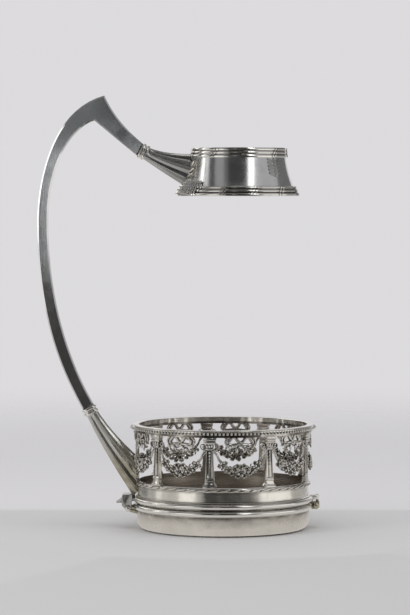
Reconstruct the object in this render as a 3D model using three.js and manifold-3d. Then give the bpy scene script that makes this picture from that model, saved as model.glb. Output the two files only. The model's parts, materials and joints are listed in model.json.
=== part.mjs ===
// Silver-plated bottle holder: a pierced gallery basket on a hinged cup, a flat
// scrolled handle with fluted sockets, and a flared collar that takes the bottle's neck.
// Millimetres, +Z up. The origin is the centre of the cup's underside, the front looks
// along -Y, and the handle stands on the -X side.

import * as THREE from 'three';
import { mergeVertices } from 'three/addons/utils/BufferGeometryUtils.js';
import Module from 'manifold-3d';

const wasm = await Module();
wasm.setup();

// Clearances
const solderGap = 0.3; // a piece coped to a curved wall stands this far off it
const buttGap = 0.1; // between two flat ends
const partingGap = 0.3; // between the cup's rim and the drum
const bezelClearance = 0.3; // radial, cup bezel inside the drum
const pivotClearance = 0.09; // radial, pin in knuckle
const sideClearance = 0.25; // along the axis, between knuckles

// Facets round a full turn
const drumFacets = 44;
const neckFacets = 30;
const neckSteps = 5; // along the collar's curve
const pinFacets = 12;

// Hinged cup
const cupProud = 0.2; // of the cup's wall beyond the drum's
const cupWall = 1.2;
const cupHeight = 15.2;
const cupFloor = 1.2;
const cupCorner = 4.5;
const bezelRise = 2.0;
const bezelWall = 0.9;
const bezelDepth = 6.0; // how far the bezel ring reaches down inside the cup
const cupBeadHeight = 3.6;
const cupBeadProud = 2.3;

// Drum
const drumRadius = 49.5;
const drumWall = 1.5;
const drumHeight = 12.5;
const drumBeadHeight = 3.8;
const drumBeadProud = 2.9;
const borderHeight = 2.6;
const borderProud = 1.1;

// Gallery
const pilasterCount = 9;
const galleryTurn = 1; // degrees, from the handle's centre line to its pilaster
const galleryHeight = 28.5;
const gallerySetIn = 1.2; // from the drum's outer face in to the gallery's back
const pilasterDepth = 2.1;
const shaftHalf = 2.4;
const plinthHalf = 3.7;
const plinthHeight = 1.0;
const baseHeight = 4.0;
const capitalHalf = 3.6;
const capitalHeight = 3.4;
const capitalDepth = 3.3;
const neckingHeight = 2.6;
const neckingHalf = 2.9;
const panelHalf = 1.35;
const panelSink = 0.6;
const panelMargin = 2.2;
const baseStep = { out: 0.3, up: 0.55 }; // where the base's slope breaks, as shares
const bowHalfSpan = 7.9;
const bowDrop = 6.9; // from the rim down to the tail tips
const bowDepth = 1.3;
const bowRibbon = 1.5;
const knotRadius = 1.45;
const knotDrop = 0.6; // share of the bow's drop
const knotDepth = 1.5; // times the ears' depth
const tailDepth = 0.8; // share of the ears' depth
// Shares of the bow's half span, out from the knot
const earPoints = { crest: 0.25, shoulder: 0.7, root: 0.86, holeNear: 0.36, holeFar: 0.68 };
const tailPoints = { inner: 0.3, middle: 0.6, tip: 0.9 };
const swagDepth = 3.2;
const swagHang = 18.5; // from the rim band down to the middle of the garland
const swagSides = 5; // of the garland's core
const swagSag = 3.9;
const swagThick = 2.7; // half the core's height at the middle
const strandRun = 2.8; // across, from the flowered part to the pilaster
const strandRise = 7.6;
const strandThick = 0.75;
const blossomRadius = 2.7;
const blossomPairs = 2; // on each side of the middle blossom

// Rim band and its beaded wire
const rimHeight = 4.0;
const rimProud = 2.7;
const rimWall = 1.0;
const beadWireRadius = 0.85;
const beadWireDrop = 1.9; // from the rim's top edge

// Neck collar
const neckOffset = 8.9; // its axis from the drum's axis
const neckFoot = 191.4; // height of its lower edge
const neckHeight = 27.7;
const neckTopRadius = 26.6;
const neckWaistRadius = 27.6;
const neckFootRadius = 34.2;
const neckWall = 1.1;
const neckEdge = 0.5; // the wall stops this far inside each reeded rim
const topRimHeight = 5.8;
const topRimReed = 0.95;
const footRimHeight = 5.8;
const footRimReed = 1.3;
const reedCount = 3;

// Handle, seen from the front
const handleStandOff = 57.1; // outermost point, from the drum's face
const waistDrop = 14.4; // from the collar's lower edge to where the bar stands upright
const peakRise = 31.9; // of the peak above the upper ferrule
const barWidth = 6.1;
const barDepth = 8.4;
const barEdge = 0.8; // chamfer on its long edges
const peakInset = 38.6; // from the outermost point in to the peak
const mitreDrop = 14.4; // from the peak down to the inner corner
const mitreBack = 5.7;
// How far the curves pull at their ends: shares of the rise from the lower ferrule to the
// waist, of the rise from there to the peak, and of the peak's inset
const outerPull = { foot: 0.28, below: 0.48, above: 0.26, in: 0.84, down: 0.12 };
const innerPull = { foot: 0.1, below: 0.55, above: 0.62, in: 0.11, down: 0.006 };
const crestPull = { in: 0.166, down: 0.207 };

// Ferrules and sockets
const ferruleLength = 3.8;
const ferruleProud = 0.9;
const lowerArmOut = 25.8; // from the gallery's face to the lower ferrule
const lowerArmUp = 36.6; // from the socket's seat to the lower ferrule
const lowerTilt = 61; // degrees below the horizontal
const lowerSeatTilt = 48;
const lowerSeat = 16.0; // above the drum's lower edge
const lowerFlare = 9.6;
const lowerFlareDepth = 6.2;
const lowerBarHalf = 3.45;
const upperArmOut = 26.0; // from the collar's wall to the upper ferrule
const upperArmUp = 10.9;
const upperTilt = 24;
const upperSeat = 14.8; // above the collar's lower edge
const upperFlare = 10.6;
const upperFlareDepth = 7.0;
const upperBarHalf = 3.9;
const socketFlutes = 14;
const fluteSink = 0.12; // share of the section's half width

// Palmette between the upper socket and the collar
const palmetteHalfWidth = 16.5;
const palmetteHalfHeight = 7.6;
const palmetteThick = 1.3;
const palmetteLobes = 14;
const lobeValley = 0.9; // radius between two lobes, as a share of the outline's
const valleySink = 0.35; // share of the thickness
// Each ring of the shell: share of the outline, and height as a share of the thickness
const palmetteRings = [[0.97, -2], [1, 0.35], [0.82, 1], [0.4, 1]];

// Hinge
const knuckleRadius = 1.9;
const hingePinRadius = 0.8;
const hingeStandOff = 0.8; // from the cup's moulding to the knuckles
const hingeDrop = 3.5; // from the cup's rim down to the hinge axis
const centreKnuckle = 5.0;
const outerKnuckle = 3.3;
const pinBall = 1.85;
const leafProud = 5.9; // of the upper leaf beyond the drum's moulding
const leafRise = 0.5; // of the upper leaf above the moulding
const leafBevel = 0.9;
const tabReach = 3.2; // beyond the upper leaf's face
const tabWidth = 3.0;
const tabFoot = 0.9; // from the drum's lower edge down to the tab's tip
const tabSlope = 3.1;
const armThick = 3.2; // of the lower leaf, under the cup's moulding

// Catch
const catchBarrel = 2.0;
const catchPinRadius = 0.7;
const catchDrop = 2.0; // from the cup's rim down to the catch pivot
const catchStandOff = 1.8; // from the cup's wall to the barrel
const catchWeb = 0.9;
const earThick = 1.4;
const leverWidth = 3.2;
const leverNose = 1.4;
const catchHead = 2.1;
const catchHeadThick = 1.3;
const keeperHeight = 2.5;
const keeperReach = 3.5; // beyond the drum's moulding
const keeperHalf = 3.3;
const keeperClearance = 0.3;
const noseRise = 1.7; // of the lever's nose into the keeper's notch

// Heights and radii that follow from the sizes above
const cupRadius = drumRadius + cupProud;
const drumFoot = cupHeight + partingGap;
const drumTop = drumFoot + drumHeight;
const rimFoot = drumTop + galleryHeight;
const rimTop = rimFoot + rimHeight;
const galleryBack = drumRadius - gallerySetIn;
const galleryFace = Math.max(galleryBack + pilasterDepth, drumRadius + borderProud);
const drumBeadRadius = drumRadius + drumBeadProud;
const cupBeadRadius = cupRadius + cupBeadProud;
const bayAngle = (2 * Math.PI) / pilasterCount;
const swagEnd = galleryBack * (bayAngle / 2) - shaftHalf - solderGap;
const swagHalfSpan = swagEnd - strandRun;
const neckTop = neckFoot + neckHeight;
const handleReach = drumRadius + handleStandOff;
const waistHeight = neckFoot - waistDrop;

const silver = (name, hex, roughness) => {
  const material = new THREE.MeshStandardMaterial({ color: hex, roughness, metalness: 1 });
  material.name = name;
  return material;
};
const polished = silver('polished', 0xc4c3bf, 0.18);
const worn = silver('worn', 0x77767a, 0.32);
const chased = silver('chased', 0x8d8880, 0.35);
const satin = silver('satin', 0xb9b4aa, 0.42);
const steel = silver('steel', 0x8f9296, 0.3);

const holder = new THREE.Group();

function addPiece(name, geometry, material) {
  geometry.computeVertexNormals();
  const mesh = new THREE.Mesh(geometry, material);
  mesh.name = name;
  holder.add(mesh);
  return mesh;
}

// Solids: joining and cutting

function toSolid(geometry) {
  let plain = geometry.clone();
  for (const name of Object.keys(plain.attributes)) {
    if (name !== 'position') plain.deleteAttribute(name);
  }
  plain = mergeVertices(plain, 1e-4);
  return new wasm.Manifold(new wasm.Mesh({
    numProp: 3,
    vertProperties: new Float32Array(plain.attributes.position.array),
    triVerts: new Uint32Array(plain.index.array),
  }));
}

function toGeometry(solid) {
  const mesh = solid.getMesh();
  const geometry = new THREE.BufferGeometry();
  geometry.setAttribute('position', new THREE.BufferAttribute(mesh.vertProperties, 3));
  geometry.setIndex(new THREE.BufferAttribute(mesh.triVerts, 1));
  return geometry;
}

function join(...geometries) {
  return toGeometry(geometries.map(toSolid).reduce((sum, next) => sum.add(next)));
}

function cut(geometry, ...tools) {
  return toGeometry(tools.map(toSolid).reduce((rest, tool) => rest.subtract(tool), toSolid(geometry)));
}

// Revolved pieces: a closed profile of [radius, height], anticlockwise, about the Z axis

function revolve(profile, facets) {
  const points = profile.map(([radius, height]) => new THREE.Vector2(radius, height));
  const last = points[points.length - 1];
  if (points[0].x > 0 || last.x > 0) points.push(points[0].clone());
  return new THREE.LatheGeometry(points, facets).rotateX(Math.PI / 2);
}

function arcPoints(centre, radius, from, to, steps) {
  const points = [];
  for (let i = 0; i <= steps; i += 1) {
    const angle = THREE.MathUtils.degToRad(from + ((to - from) * i) / steps);
    points.push([centre[0] + radius * Math.cos(angle), centre[1] + radius * Math.sin(angle)]);
  }
  return points;
}

// A half-round moulding on a wall: an elliptical bulge between two heights
function bulge(wallRadius, foot, height, proud, steps) {
  const points = [];
  for (let i = 0; i <= steps; i += 1) {
    const angle = Math.PI * (i / steps - 0.5);
    points.push([
      wallRadius + proud * Math.cos(angle) ** 0.7,
      foot + (height / 2) * (1 + Math.sin(angle)),
    ]);
  }
  return points;
}

// Ornaments are drawn flat as seen from the front, then bent round the gallery

function raise(shape, depth, start = 0) {
  return new THREE.ExtrudeGeometry(shape, { depth, bevelEnabled: false, curveSegments: 3 })
    .rotateX(Math.PI / 2)
    .translate(0, -start, 0);
}

function bend(geometry, angle) {
  const position = geometry.attributes.position;
  for (let i = 0; i < position.count; i += 1) {
    const turn = angle + position.getX(i) / galleryBack;
    const radius = galleryBack - position.getY(i);
    position.setXYZ(i, radius * Math.sin(turn), -radius * Math.cos(turn), position.getZ(i));
  }
  return geometry;
}

// A closed outline, always anticlockwise, so that a hole in it can be one too
function outline(points) {
  const corners = points.map(([x, z]) => new THREE.Vector2(x, z));
  return new THREE.Shape(THREE.ShapeUtils.isClockWise(corners) ? corners.reverse() : corners);
}

function block(x, y, z) {
  const size = [x, y, z].map(([low, high]) => high - low);
  return new THREE.BoxGeometry(...size)
    .translate((x[0] + x[1]) / 2, (y[0] + y[1]) / 2, (z[0] + z[1]) / 2);
}

// A pin or barrel along Y
function barrel(radius, from, to, centre) {
  return new THREE.CylinderGeometry(radius, radius, to - from, pinFacets)
    .translate(centre[0], (from + to) / 2, centre[1]);
}

// An outline in X and Z, given a thickness along Y about the centre plane
function slab(shape, width) {
  return new THREE.ExtrudeGeometry(shape, { depth: width, bevelEnabled: false, curveSegments: 6 })
    .rotateX(Math.PI / 2)
    .translate(0, width / 2, 0);
}

// A loft through rings that have the same number of points
function loft(rings) {
  const count = rings[0].length;
  const positions = rings.flat().flatMap((point) => [point.x, point.y, point.z]);
  const index = [];
  for (let r = 0; r + 1 < rings.length; r += 1) {
    for (let i = 0; i < count; i += 1) {
      const a = r * count + i;
      const b = r * count + ((i + 1) % count);
      index.push(a, b, a + count, b, b + count, a + count);
    }
  }
  for (const [ring, flip] of [[0, true], [rings.length - 1, false]]) {
    const middle = positions.length / 3;
    const centre = rings[ring].reduce((sum, p) => sum.add(p), new THREE.Vector3());
    centre.divideScalar(count);
    positions.push(centre.x, centre.y, centre.z);
    for (let i = 0; i < count; i += 1) {
      const a = ring * count + i;
      const b = ring * count + ((i + 1) % count);
      index.push(...(flip ? [b, a, middle] : [a, b, middle]));
    }
  }
  if (signedVolume(positions, index) < 0) index.reverse();
  const geometry = new THREE.BufferGeometry();
  geometry.setAttribute('position', new THREE.Float32BufferAttribute(positions, 3));
  geometry.setIndex(index);
  return geometry;
}

function signedVolume(positions, index) {
  const corner = (k) => new THREE.Vector3().fromArray(positions, 3 * index[k]);
  let volume = 0;
  for (let k = 0; k < index.length; k += 3) {
    volume += corner(k).dot(corner(k + 1).cross(corner(k + 2))) / 6;
  }
  return volume;
}

// A section in the plane across a direction that lies in the XZ plane
function section(centre, tilt, halfWidth, halfDepth, count, radiusAt) {
  const ring = [];
  for (let i = 0; i < count; i += 1) {
    const angle = (2 * Math.PI * i) / count;
    const share = radiusAt(angle, i);
    const across = halfWidth * share * Math.cos(angle);
    ring.push(new THREE.Vector3(
      centre[0] + across * Math.sin(tilt),
      halfDepth * share * Math.sin(angle),
      centre[1] + across * Math.cos(tilt),
    ));
  }
  return ring;
}

const roundedBox = (angle) => (Math.abs(Math.cos(angle)) ** 4 + Math.abs(Math.sin(angle)) ** 4) ** -0.25;

// Drum: plain band, lower moulding and the border on its upper edge

const drumBand = revolve([
  [drumRadius - drumWall, drumFoot],
  [drumRadius, drumFoot],
  [drumRadius, drumTop],
  [drumRadius - drumWall, drumTop],
], drumFacets);
addPiece('drum_band', drumBand, polished);

const drumBeadProfile = bulge(drumRadius, drumFoot, drumBeadHeight, drumBeadProud, 5);
addPiece('band_moulding', revolve(drumBeadProfile, drumFacets), polished);

const borderProfile = bulge(drumRadius, drumTop - borderHeight, borderHeight, borderProud, 4);
addPiece('ribbon_border', revolve(borderProfile, drumFacets), chased);

// Rim band with a rolled lip, and the wire that carries the beads

const rimOuter = drumRadius + rimProud;
addPiece('rim_band', revolve([
  [galleryBack, rimFoot],
  [galleryBack + capitalDepth, rimFoot],
  [rimOuter, rimFoot + rimHeight / 4],
  [rimOuter, rimTop - rimHeight / 8],
  [rimOuter - rimWall / 2, rimTop],
  [rimOuter - 2 * rimWall, rimTop],
  [galleryBack, rimTop - rimHeight / 3],
], drumFacets), polished);

const beadCentre = [rimOuter + beadWireRadius * 0.5, rimTop - beadWireDrop];
addPiece('bead_wire', revolve([
  [rimOuter, beadCentre[1] - beadWireRadius],
  ...arcPoints(beadCentre, beadWireRadius, -60, 60, 2),
  [rimOuter, beadCentre[1] + beadWireRadius],
], drumFacets), chased);

// Gallery: nine pilasters, and in each bay a bow over a swag of blossoms

function pilaster() {
  const baseTop = drumTop + plinthHeight + baseHeight;
  const capitalFoot = rimFoot - capitalHeight;
  const half = [
    [plinthHalf, drumTop],
    [plinthHalf, drumTop + plinthHeight],
    [shaftHalf + (plinthHalf - shaftHalf) * baseStep.out,
      drumTop + plinthHeight + baseHeight * baseStep.up],
    [shaftHalf, baseTop],
    [shaftHalf, capitalFoot - neckingHeight],
    [neckingHalf, capitalFoot - neckingHeight / 2],
    [neckingHalf, rimFoot],
  ];
  const mirrored = half.map(([x, z]) => [-x, z]).reverse();
  const post = raise(outline([...half, ...mirrored]), pilasterDepth);
  const capital = raise(outline([
    [-neckingHalf, capitalFoot - neckingHeight / 4],
    [neckingHalf, capitalFoot - neckingHeight / 4],
    [capitalHalf, capitalFoot],
    [capitalHalf, rimFoot],
    [-capitalHalf, rimFoot],
    [-capitalHalf, capitalFoot],
  ]), capitalDepth);
  const panelFoot = baseTop + panelMargin;
  const panelTop = capitalFoot - neckingHeight - panelMargin;
  const panel = raise(outline([
    [-panelHalf, panelFoot],
    [panelHalf, panelFoot],
    [panelHalf, panelTop - panelHalf],
    [0, panelTop],
    [-panelHalf, panelTop - panelHalf],
  ]), capitalDepth, pilasterDepth - panelSink);
  return cut(join(post, capital), panel);
}

// A ribbon bow: two looped ears, two tails and a ring knot, hung from the rim
function bow() {
  const knot = [0, rimFoot - bowDrop * knotDrop];
  const pieces = [];
  for (const side of [-1, 1]) {
    const loop = outline([
      [0, knot[1] - knotRadius * 0.3],
      [side * bowHalfSpan * earPoints.crest, rimFoot + bowRibbon * 0.3],
      [side * bowHalfSpan * earPoints.shoulder, rimFoot + bowRibbon * 0.4],
      [side * bowHalfSpan, knot[1] + bowDrop * 0.35],
      [side * bowHalfSpan * earPoints.root, knot[1]],
    ]);
    const near = bowHalfSpan * earPoints.holeNear;
    const far = bowHalfSpan - bowRibbon;
    const top = rimFoot - bowRibbon * 0.8;
    const bottom = knot[1] + bowRibbon * 0.9;
    loop.holes.push(outline([
      [side * near, bottom],
      [side * near, top],
      [side * bowHalfSpan * earPoints.holeFar, top],
      [side * far, bottom],
    ]));
    pieces.push(raise(loop, bowDepth));
    pieces.push(raise(outline([
      [0, knot[1] + knotRadius * 0.5],
      [side * bowHalfSpan * tailPoints.middle, knot[1] + bowRibbon * 0.2],
      [side * bowHalfSpan * tailPoints.tip, rimFoot - bowDrop],
      [side * bowHalfSpan * tailPoints.inner, knot[1] - bowRibbon],
    ]), bowDepth * tailDepth));
  }
  pieces.push(raise(outline(arcPoints(knot, knotRadius, 0, 300, 5)), bowDepth * knotDepth));
  const overRim = block([-bowHalfSpan * 2, bowHalfSpan * 2], [-2 * swagDepth, 2 * swagDepth],
    [rimFoot, rimFoot + 2 * bowRibbon]);
  return cut(join(...pieces), overRim);
}

// The garland: a tapered core from pilaster to pilaster that carries the blossoms
function swagHeight(x) {
  const floor = rimFoot - swagHang;
  const inside = Math.min(Math.abs(x), swagHalfSpan);
  const past = Math.abs(x) - inside;
  return floor + swagSag * (inside / swagHalfSpan) ** 2 + strandRise * (past / strandRun);
}

function swagStrand() {
  const stations = [-swagEnd, -swagHalfSpan, -swagHalfSpan * 0.6, 0];
  const places = [...stations, ...stations.slice(0, -1).reverse().map((x) => -x)];
  const middle = -swagDepth * 0.45;
  const endHalf = strandThick * Math.hypot(1, strandRise / strandRun);
  return loft(places.map((x) => {
    const taper = Math.max(0, 1 - (x / swagEnd) ** 2);
    const half = Math.abs(x) < swagEnd ? strandThick + (swagThick - strandThick) * taper : endHalf;
    const depthHalf = strandThick + (swagDepth * 0.4 - strandThick) * taper;
    const ring = [];
    for (let i = 0; i < swagSides; i += 1) {
      const angle = (2 * Math.PI * i) / swagSides;
      ring.push(new THREE.Vector3(x, middle - depthHalf * Math.sin(angle),
        swagHeight(x) + half * Math.cos(angle)));
    }
    return ring;
  }));
}

function blossom(x, lift, radius) {
  const petals = 4;
  const rings = [[0, 1], [0.45, 0.75]];
  const points = rings.map(([inset, share]) => {
    const ring = [];
    for (let i = 0; i < petals * 2; i += 1) {
      const angle = (Math.PI * i) / petals;
      const reach = radius * share * (i % 2 ? 0.68 : 1);
      const depth = swagDepth * (0.35 + 0.65 * inset);
      ring.push(new THREE.Vector3(x + reach * Math.sin(angle), -depth,
        swagHeight(x) + lift + reach * Math.cos(angle)));
    }
    return ring;
  });
  return loft(points);
}

function swag() {
  const pieces = [swagStrand(), blossom(0, -swagThick * 0.2, blossomRadius)];
  for (let pair = 1; pair <= blossomPairs; pair += 1) {
    const x = (swagHalfSpan * 0.9 * pair) / blossomPairs;
    const lift = swagThick * (pair % 2 ? 0.2 : -0.1);
    const radius = blossomRadius * (1 - 0.04 * pair);
    pieces.push(blossom(-x, lift, radius), blossom(x, lift, radius));
  }
  return join(...pieces);
}

const handleSide = -Math.PI / 2;
for (let i = 0; i < pilasterCount; i += 1) {
  const turn = handleSide + THREE.MathUtils.degToRad(galleryTurn) + bayAngle * i;
  addPiece(`pilaster_${i + 1}`, bend(pilaster(), turn), chased);
  addPiece(`bow_${i + 1}`, bend(bow(), turn + bayAngle / 2), chased);
  addPiece(`swag_${i + 1}`, bend(swag(), turn + bayAngle / 2), chased);
}

// Neck collar: a flared tube with a reeded rim at each end

function neckCurve(steps, shift) {
  const curve = new THREE.QuadraticBezierCurve(
    new THREE.Vector2(neckTopRadius, neckTop - neckEdge),
    new THREE.Vector2(neckWaistRadius, neckFoot + neckHeight * 0.44),
    new THREE.Vector2(neckFootRadius, neckFoot + neckEdge),
  );
  return curve.getPoints(steps).map((point) => [point.x + shift, point.y]);
}

// The wall's outer radius at a height, on the same straight runs as the solid
function neckRadiusAt(height) {
  const points = neckCurve(neckSteps, 0);
  const next = points.findIndex(([, z]) => z <= height);
  if (next <= 0) return next === 0 ? neckTopRadius : neckFootRadius;
  const [[r0, z0], [r1, z1]] = [points[next - 1], points[next]];
  return r0 + ((r1 - r0) * (height - z0)) / (z1 - z0);
}

const neckWallProfile = [...neckCurve(neckSteps, -neckWall), ...neckCurve(neckSteps, 0).reverse()];
addPiece('neck_collar', revolve(neckWallProfile, neckFacets).translate(neckOffset, 0, 0), polished);

// A reeded rim wrapped round one end of the collar's wall, with a lip over its edge
function reededRim(inner, edge, reed) {
  const lift = Math.sign(edge - inner);
  const wallEnd = edge - lift * neckEdge;
  const pitch = (edge - inner) / reedCount;
  const face = [];
  for (let i = 0; i < reedCount; i += 1) {
    const start = inner + pitch * i;
    const base = neckRadiusAt(start + pitch / 2) + reed * 0.25;
    face.push([base, start], [base + reed * 0.75, start + pitch * 0.3]);
    face.push([base + reed * 0.75, start + pitch * 0.75]);
  }
  const lastRadius = neckRadiusAt(wallEnd);
  face.push([lastRadius + reed * 0.25, edge], [lastRadius - neckWall, edge]);
  face.push([lastRadius - neckWall, wallEnd], [lastRadius, wallEnd]);
  const low = Math.min(inner, wallEnd);
  const high = Math.max(inner, wallEnd);
  const wall = neckCurve(neckSteps, 0).filter(([, z]) => z > low && z < high);
  const backToStart = lift > 0 ? wall : wall.reverse();
  const profile = [...face, ...backToStart, [neckRadiusAt(inner), inner]];
  return revolve(lift > 0 ? profile : profile.reverse(), neckFacets).translate(neckOffset, 0, 0);
}

addPiece('collar_top_rim', reededRim(neckTop - topRimHeight, neckTop, topRimReed), polished);
addPiece('collar_foot_rim', reededRim(neckFoot + footRimHeight, neckFoot, footRimReed), polished);

// What the sockets are coped to: the whole drum and the whole collar, grown by a gap

function drumEnvelope(gap) {
  const beadTop = drumFoot + drumBeadHeight + gap;
  return revolve([
    [0, 0],
    [drumBeadRadius + gap, 0],
    [drumBeadRadius + gap, beadTop],
    [galleryFace + gap, beadTop],
    [galleryFace + gap, rimTop],
    [0, rimTop],
  ], drumFacets);
}

function neckEnvelope(gap) {
  const footRimTop = neckFoot + footRimHeight;
  const topRimFoot = neckTop - topRimHeight;
  const wall = neckCurve(neckSteps, gap).reverse();
  const footRadius = neckFootRadius + footRimReed + gap;
  const topRadius = neckRadiusAt(topRimFoot) + topRimReed + gap;
  return revolve([
    [0, neckFoot - neckEdge],
    [footRadius, neckFoot - neckEdge],
    [neckRadiusAt(footRimTop) + footRimReed + gap, footRimTop + gap],
    ...wall.filter(([, z]) => z > footRimTop + gap && z < topRimFoot - gap),
    [topRadius, topRimFoot - gap],
    [topRadius, neckTop + neckEdge],
    [0, neckTop + neckEdge],
  ], neckFacets).translate(neckOffset, 0, 0);
}

// Ferrules: a double bead on a rounded box section, square across the handle

const radians = THREE.MathUtils.degToRad;
const lowerFerrule = {
  centre: [-(galleryFace + lowerArmOut), drumFoot + lowerSeat + lowerArmUp],
  tilt: radians(lowerTilt),
  half: lowerBarHalf,
};
const neckWallX = neckOffset - neckRadiusAt(neckFoot + upperSeat);
const upperFerrule = {
  centre: [neckWallX - upperArmOut, neckFoot + upperSeat + upperArmUp],
  tilt: radians(upperTilt),
  half: upperBarHalf,
};

// A point given along the ferrule's axis (towards the socket) and across it
function fromFerrule(ferrule, along, across) {
  const { centre, tilt } = ferrule;
  return [
    centre[0] + along * Math.cos(tilt) + across * Math.sin(tilt),
    centre[1] - along * Math.sin(tilt) + across * Math.cos(tilt),
  ];
}

function ferruleSolid(ferrule) {
  const steps = [[-1, 0.25], [-0.9, 0.8], [-0.5, 1], [-0.1, 0.7], [0, 0.15], [0.15, 0.7],
    [0.5, 1], [0.85, 0.7], [1, 0.15]];
  return loft(steps.map(([along, swell]) => section(
    fromFerrule(ferrule, (along * ferruleLength) / 2, 0), ferrule.tilt,
    ferrule.half + ferruleProud * swell, barDepth / 2 + ferruleProud * swell, 16, roundedBox,
  )));
}
addPiece('lower_ferrule', ferruleSolid(lowerFerrule), polished);
addPiece('upper_ferrule', ferruleSolid(upperFerrule), polished);

// Fluted sockets: they flare from the ferrule along a bent axis and are coped to the wall

function socket(ferrule, seat, seatTilt, flare, flareDepth) {
  const start = fromFerrule(ferrule, ferruleLength / 2 + buttGap, 0);
  const inside = flare * 0.66;
  const end = [seat[0] + inside * Math.cos(seatTilt), seat[1] - inside * Math.sin(seatTilt)];
  const pull = Math.hypot(end[0] - start[0], end[1] - start[1]) / 3;
  const axis = new THREE.CubicBezierCurve(
    new THREE.Vector2(...start),
    new THREE.Vector2(start[0] + pull * Math.cos(ferrule.tilt),
      start[1] - pull * Math.sin(ferrule.tilt)),
    new THREE.Vector2(end[0] - pull * Math.cos(seatTilt), end[1] + pull * Math.sin(seatTilt)),
    new THREE.Vector2(...end),
  );
  const pointsPerFlute = 3;
  const rings = [];
  const stations = 6;
  for (let i = 0; i <= stations; i += 1) {
    const t = i / stations;
    const point = axis.getPoint(t);
    const tangent = axis.getTangent(t);
    const grow = t ** 1.25;
    const sink = fluteSink * Math.min(1, 4 * t);
    rings.push(section([point.x, point.y], -Math.atan2(tangent.y, tangent.x),
      ferrule.half + (flare - ferrule.half) * grow,
      (barDepth / 2) + (flareDepth - barDepth / 2) * grow, socketFlutes * pointsPerFlute,
      (angle, k) => (k % pointsPerFlute === 0 ? 1 - sink : 1)));
  }
  return loft(rings);
}

const lowerSocket = socket(lowerFerrule, [-galleryFace, drumFoot + lowerSeat],
  radians(lowerSeatTilt), lowerFlare, lowerFlareDepth);
addPiece('lower_socket', cut(lowerSocket, drumEnvelope(solderGap)), worn);

const upperSocket = socket(upperFerrule, [neckWallX, neckFoot + upperSeat],
  radians(upperTilt), upperFlare, upperFlareDepth);
addPiece('upper_socket', cut(upperSocket, neckEnvelope(solderGap + palmetteThick)), worn);

// Palmette: a lobed shell that lies on the collar's wall under the upper socket

function palmette() {
  const middle = neckFoot + (footRimHeight + neckHeight - topRimHeight) / 2;
  const count = palmetteLobes * 2;
  const rings = palmetteRings.map(([share, height]) => {
    const ring = [];
    for (let i = 0; i < count; i += 1) {
      const angle = (2 * Math.PI * i) / count;
      const lobe = i % 2 ? 1 : lobeValley;
      const z = middle + palmetteHalfHeight * share * lobe * Math.sin(angle);
      const around = (palmetteHalfWidth * share * lobe * Math.cos(angle)) / neckRadiusAt(z);
      const ripple = i % 2 ? 0 : valleySink;
      const radius = neckRadiusAt(z) + palmetteThick * (height - (height > 0 ? ripple : 0));
      ring.push(new THREE.Vector3(neckOffset - radius * Math.cos(around), radius * Math.sin(around), z));
    }
    return ring;
  });
  return cut(loft(rings), neckEnvelope(solderGap / 2));
}
addPiece('palmette', palmette(), chased);

// Handle bar: one flat-sided bar with chamfered edges and a mitred peak

function handleShape() {
  const towardBar = [-Math.cos(lowerFerrule.tilt), Math.sin(lowerFerrule.tilt)];
  const end = ferruleLength / 2 + buttGap;
  const lowerOuter = fromFerrule(lowerFerrule, -end, -lowerFerrule.half);
  const lowerInner = fromFerrule(lowerFerrule, -end, lowerFerrule.half);
  const upperOuter = fromFerrule(upperFerrule, -end, upperFerrule.half);
  const upperInner = fromFerrule(upperFerrule, -end, -upperFerrule.half);
  const peak = [peakInset - handleReach, upperFerrule.centre[1] + peakRise];
  const corner = [peak[0] - mitreBack, peak[1] - mitreDrop];
  const lowerRun = waistHeight - lowerOuter[1];
  const upperRun = peak[1] - waistHeight;
  const outerX = -handleReach;
  const innerX = barWidth - handleReach;
  const shape = new THREE.Shape();
  shape.moveTo(...lowerOuter);
  shape.bezierCurveTo(lowerOuter[0] + towardBar[0] * lowerRun * outerPull.foot,
    lowerOuter[1] + towardBar[1] * lowerRun * outerPull.foot,
    outerX, waistHeight - lowerRun * outerPull.below, outerX, waistHeight);
  shape.bezierCurveTo(outerX, waistHeight + upperRun * outerPull.above,
    peak[0] - peakInset * outerPull.in, peak[1] - upperRun * outerPull.down, ...peak);
  shape.quadraticCurveTo(peak[0] + peakInset * crestPull.in,
    peak[1] - upperRun * crestPull.down, ...upperOuter);
  shape.lineTo(...upperInner);
  shape.lineTo(...corner);
  shape.bezierCurveTo(corner[0] - peakInset * innerPull.in,
    corner[1] - upperRun * innerPull.down,
    innerX, waistHeight + upperRun * innerPull.above, innerX, waistHeight);
  shape.bezierCurveTo(innerX, waistHeight - lowerRun * innerPull.below,
    lowerInner[0] + towardBar[0] * lowerRun * innerPull.foot,
    lowerInner[1] + towardBar[1] * lowerRun * innerPull.foot, ...lowerInner);
  return shape;
}

const bar = new THREE.ExtrudeGeometry(handleShape(), {
  depth: barDepth - 2 * barEdge,
  bevelEnabled: true,
  bevelThickness: barEdge,
  bevelSize: barEdge,
  bevelOffset: -barEdge,
  bevelSegments: 1,
  curveSegments: 9,
}).rotateX(Math.PI / 2).translate(0, barDepth / 2 - barEdge, 0);
addPiece('handle_bar', bar, worn);

// Hinge at the handle's side: leaf on the drum, leaf on the cup, and the pin

const hinge = [-(cupBeadRadius + hingeStandOff + knuckleRadius), cupHeight - hingeDrop];
const hingeBore = hingePinRadius + pivotClearance + hingePinRadius * (1 - Math.cos(Math.PI / pinFacets));
const hingeHalf = centreKnuckle / 2 + sideClearance + outerKnuckle;
const boreThrough = barrel(hingeBore, -2 * hingeHalf, 2 * hingeHalf, hinge);

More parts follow.
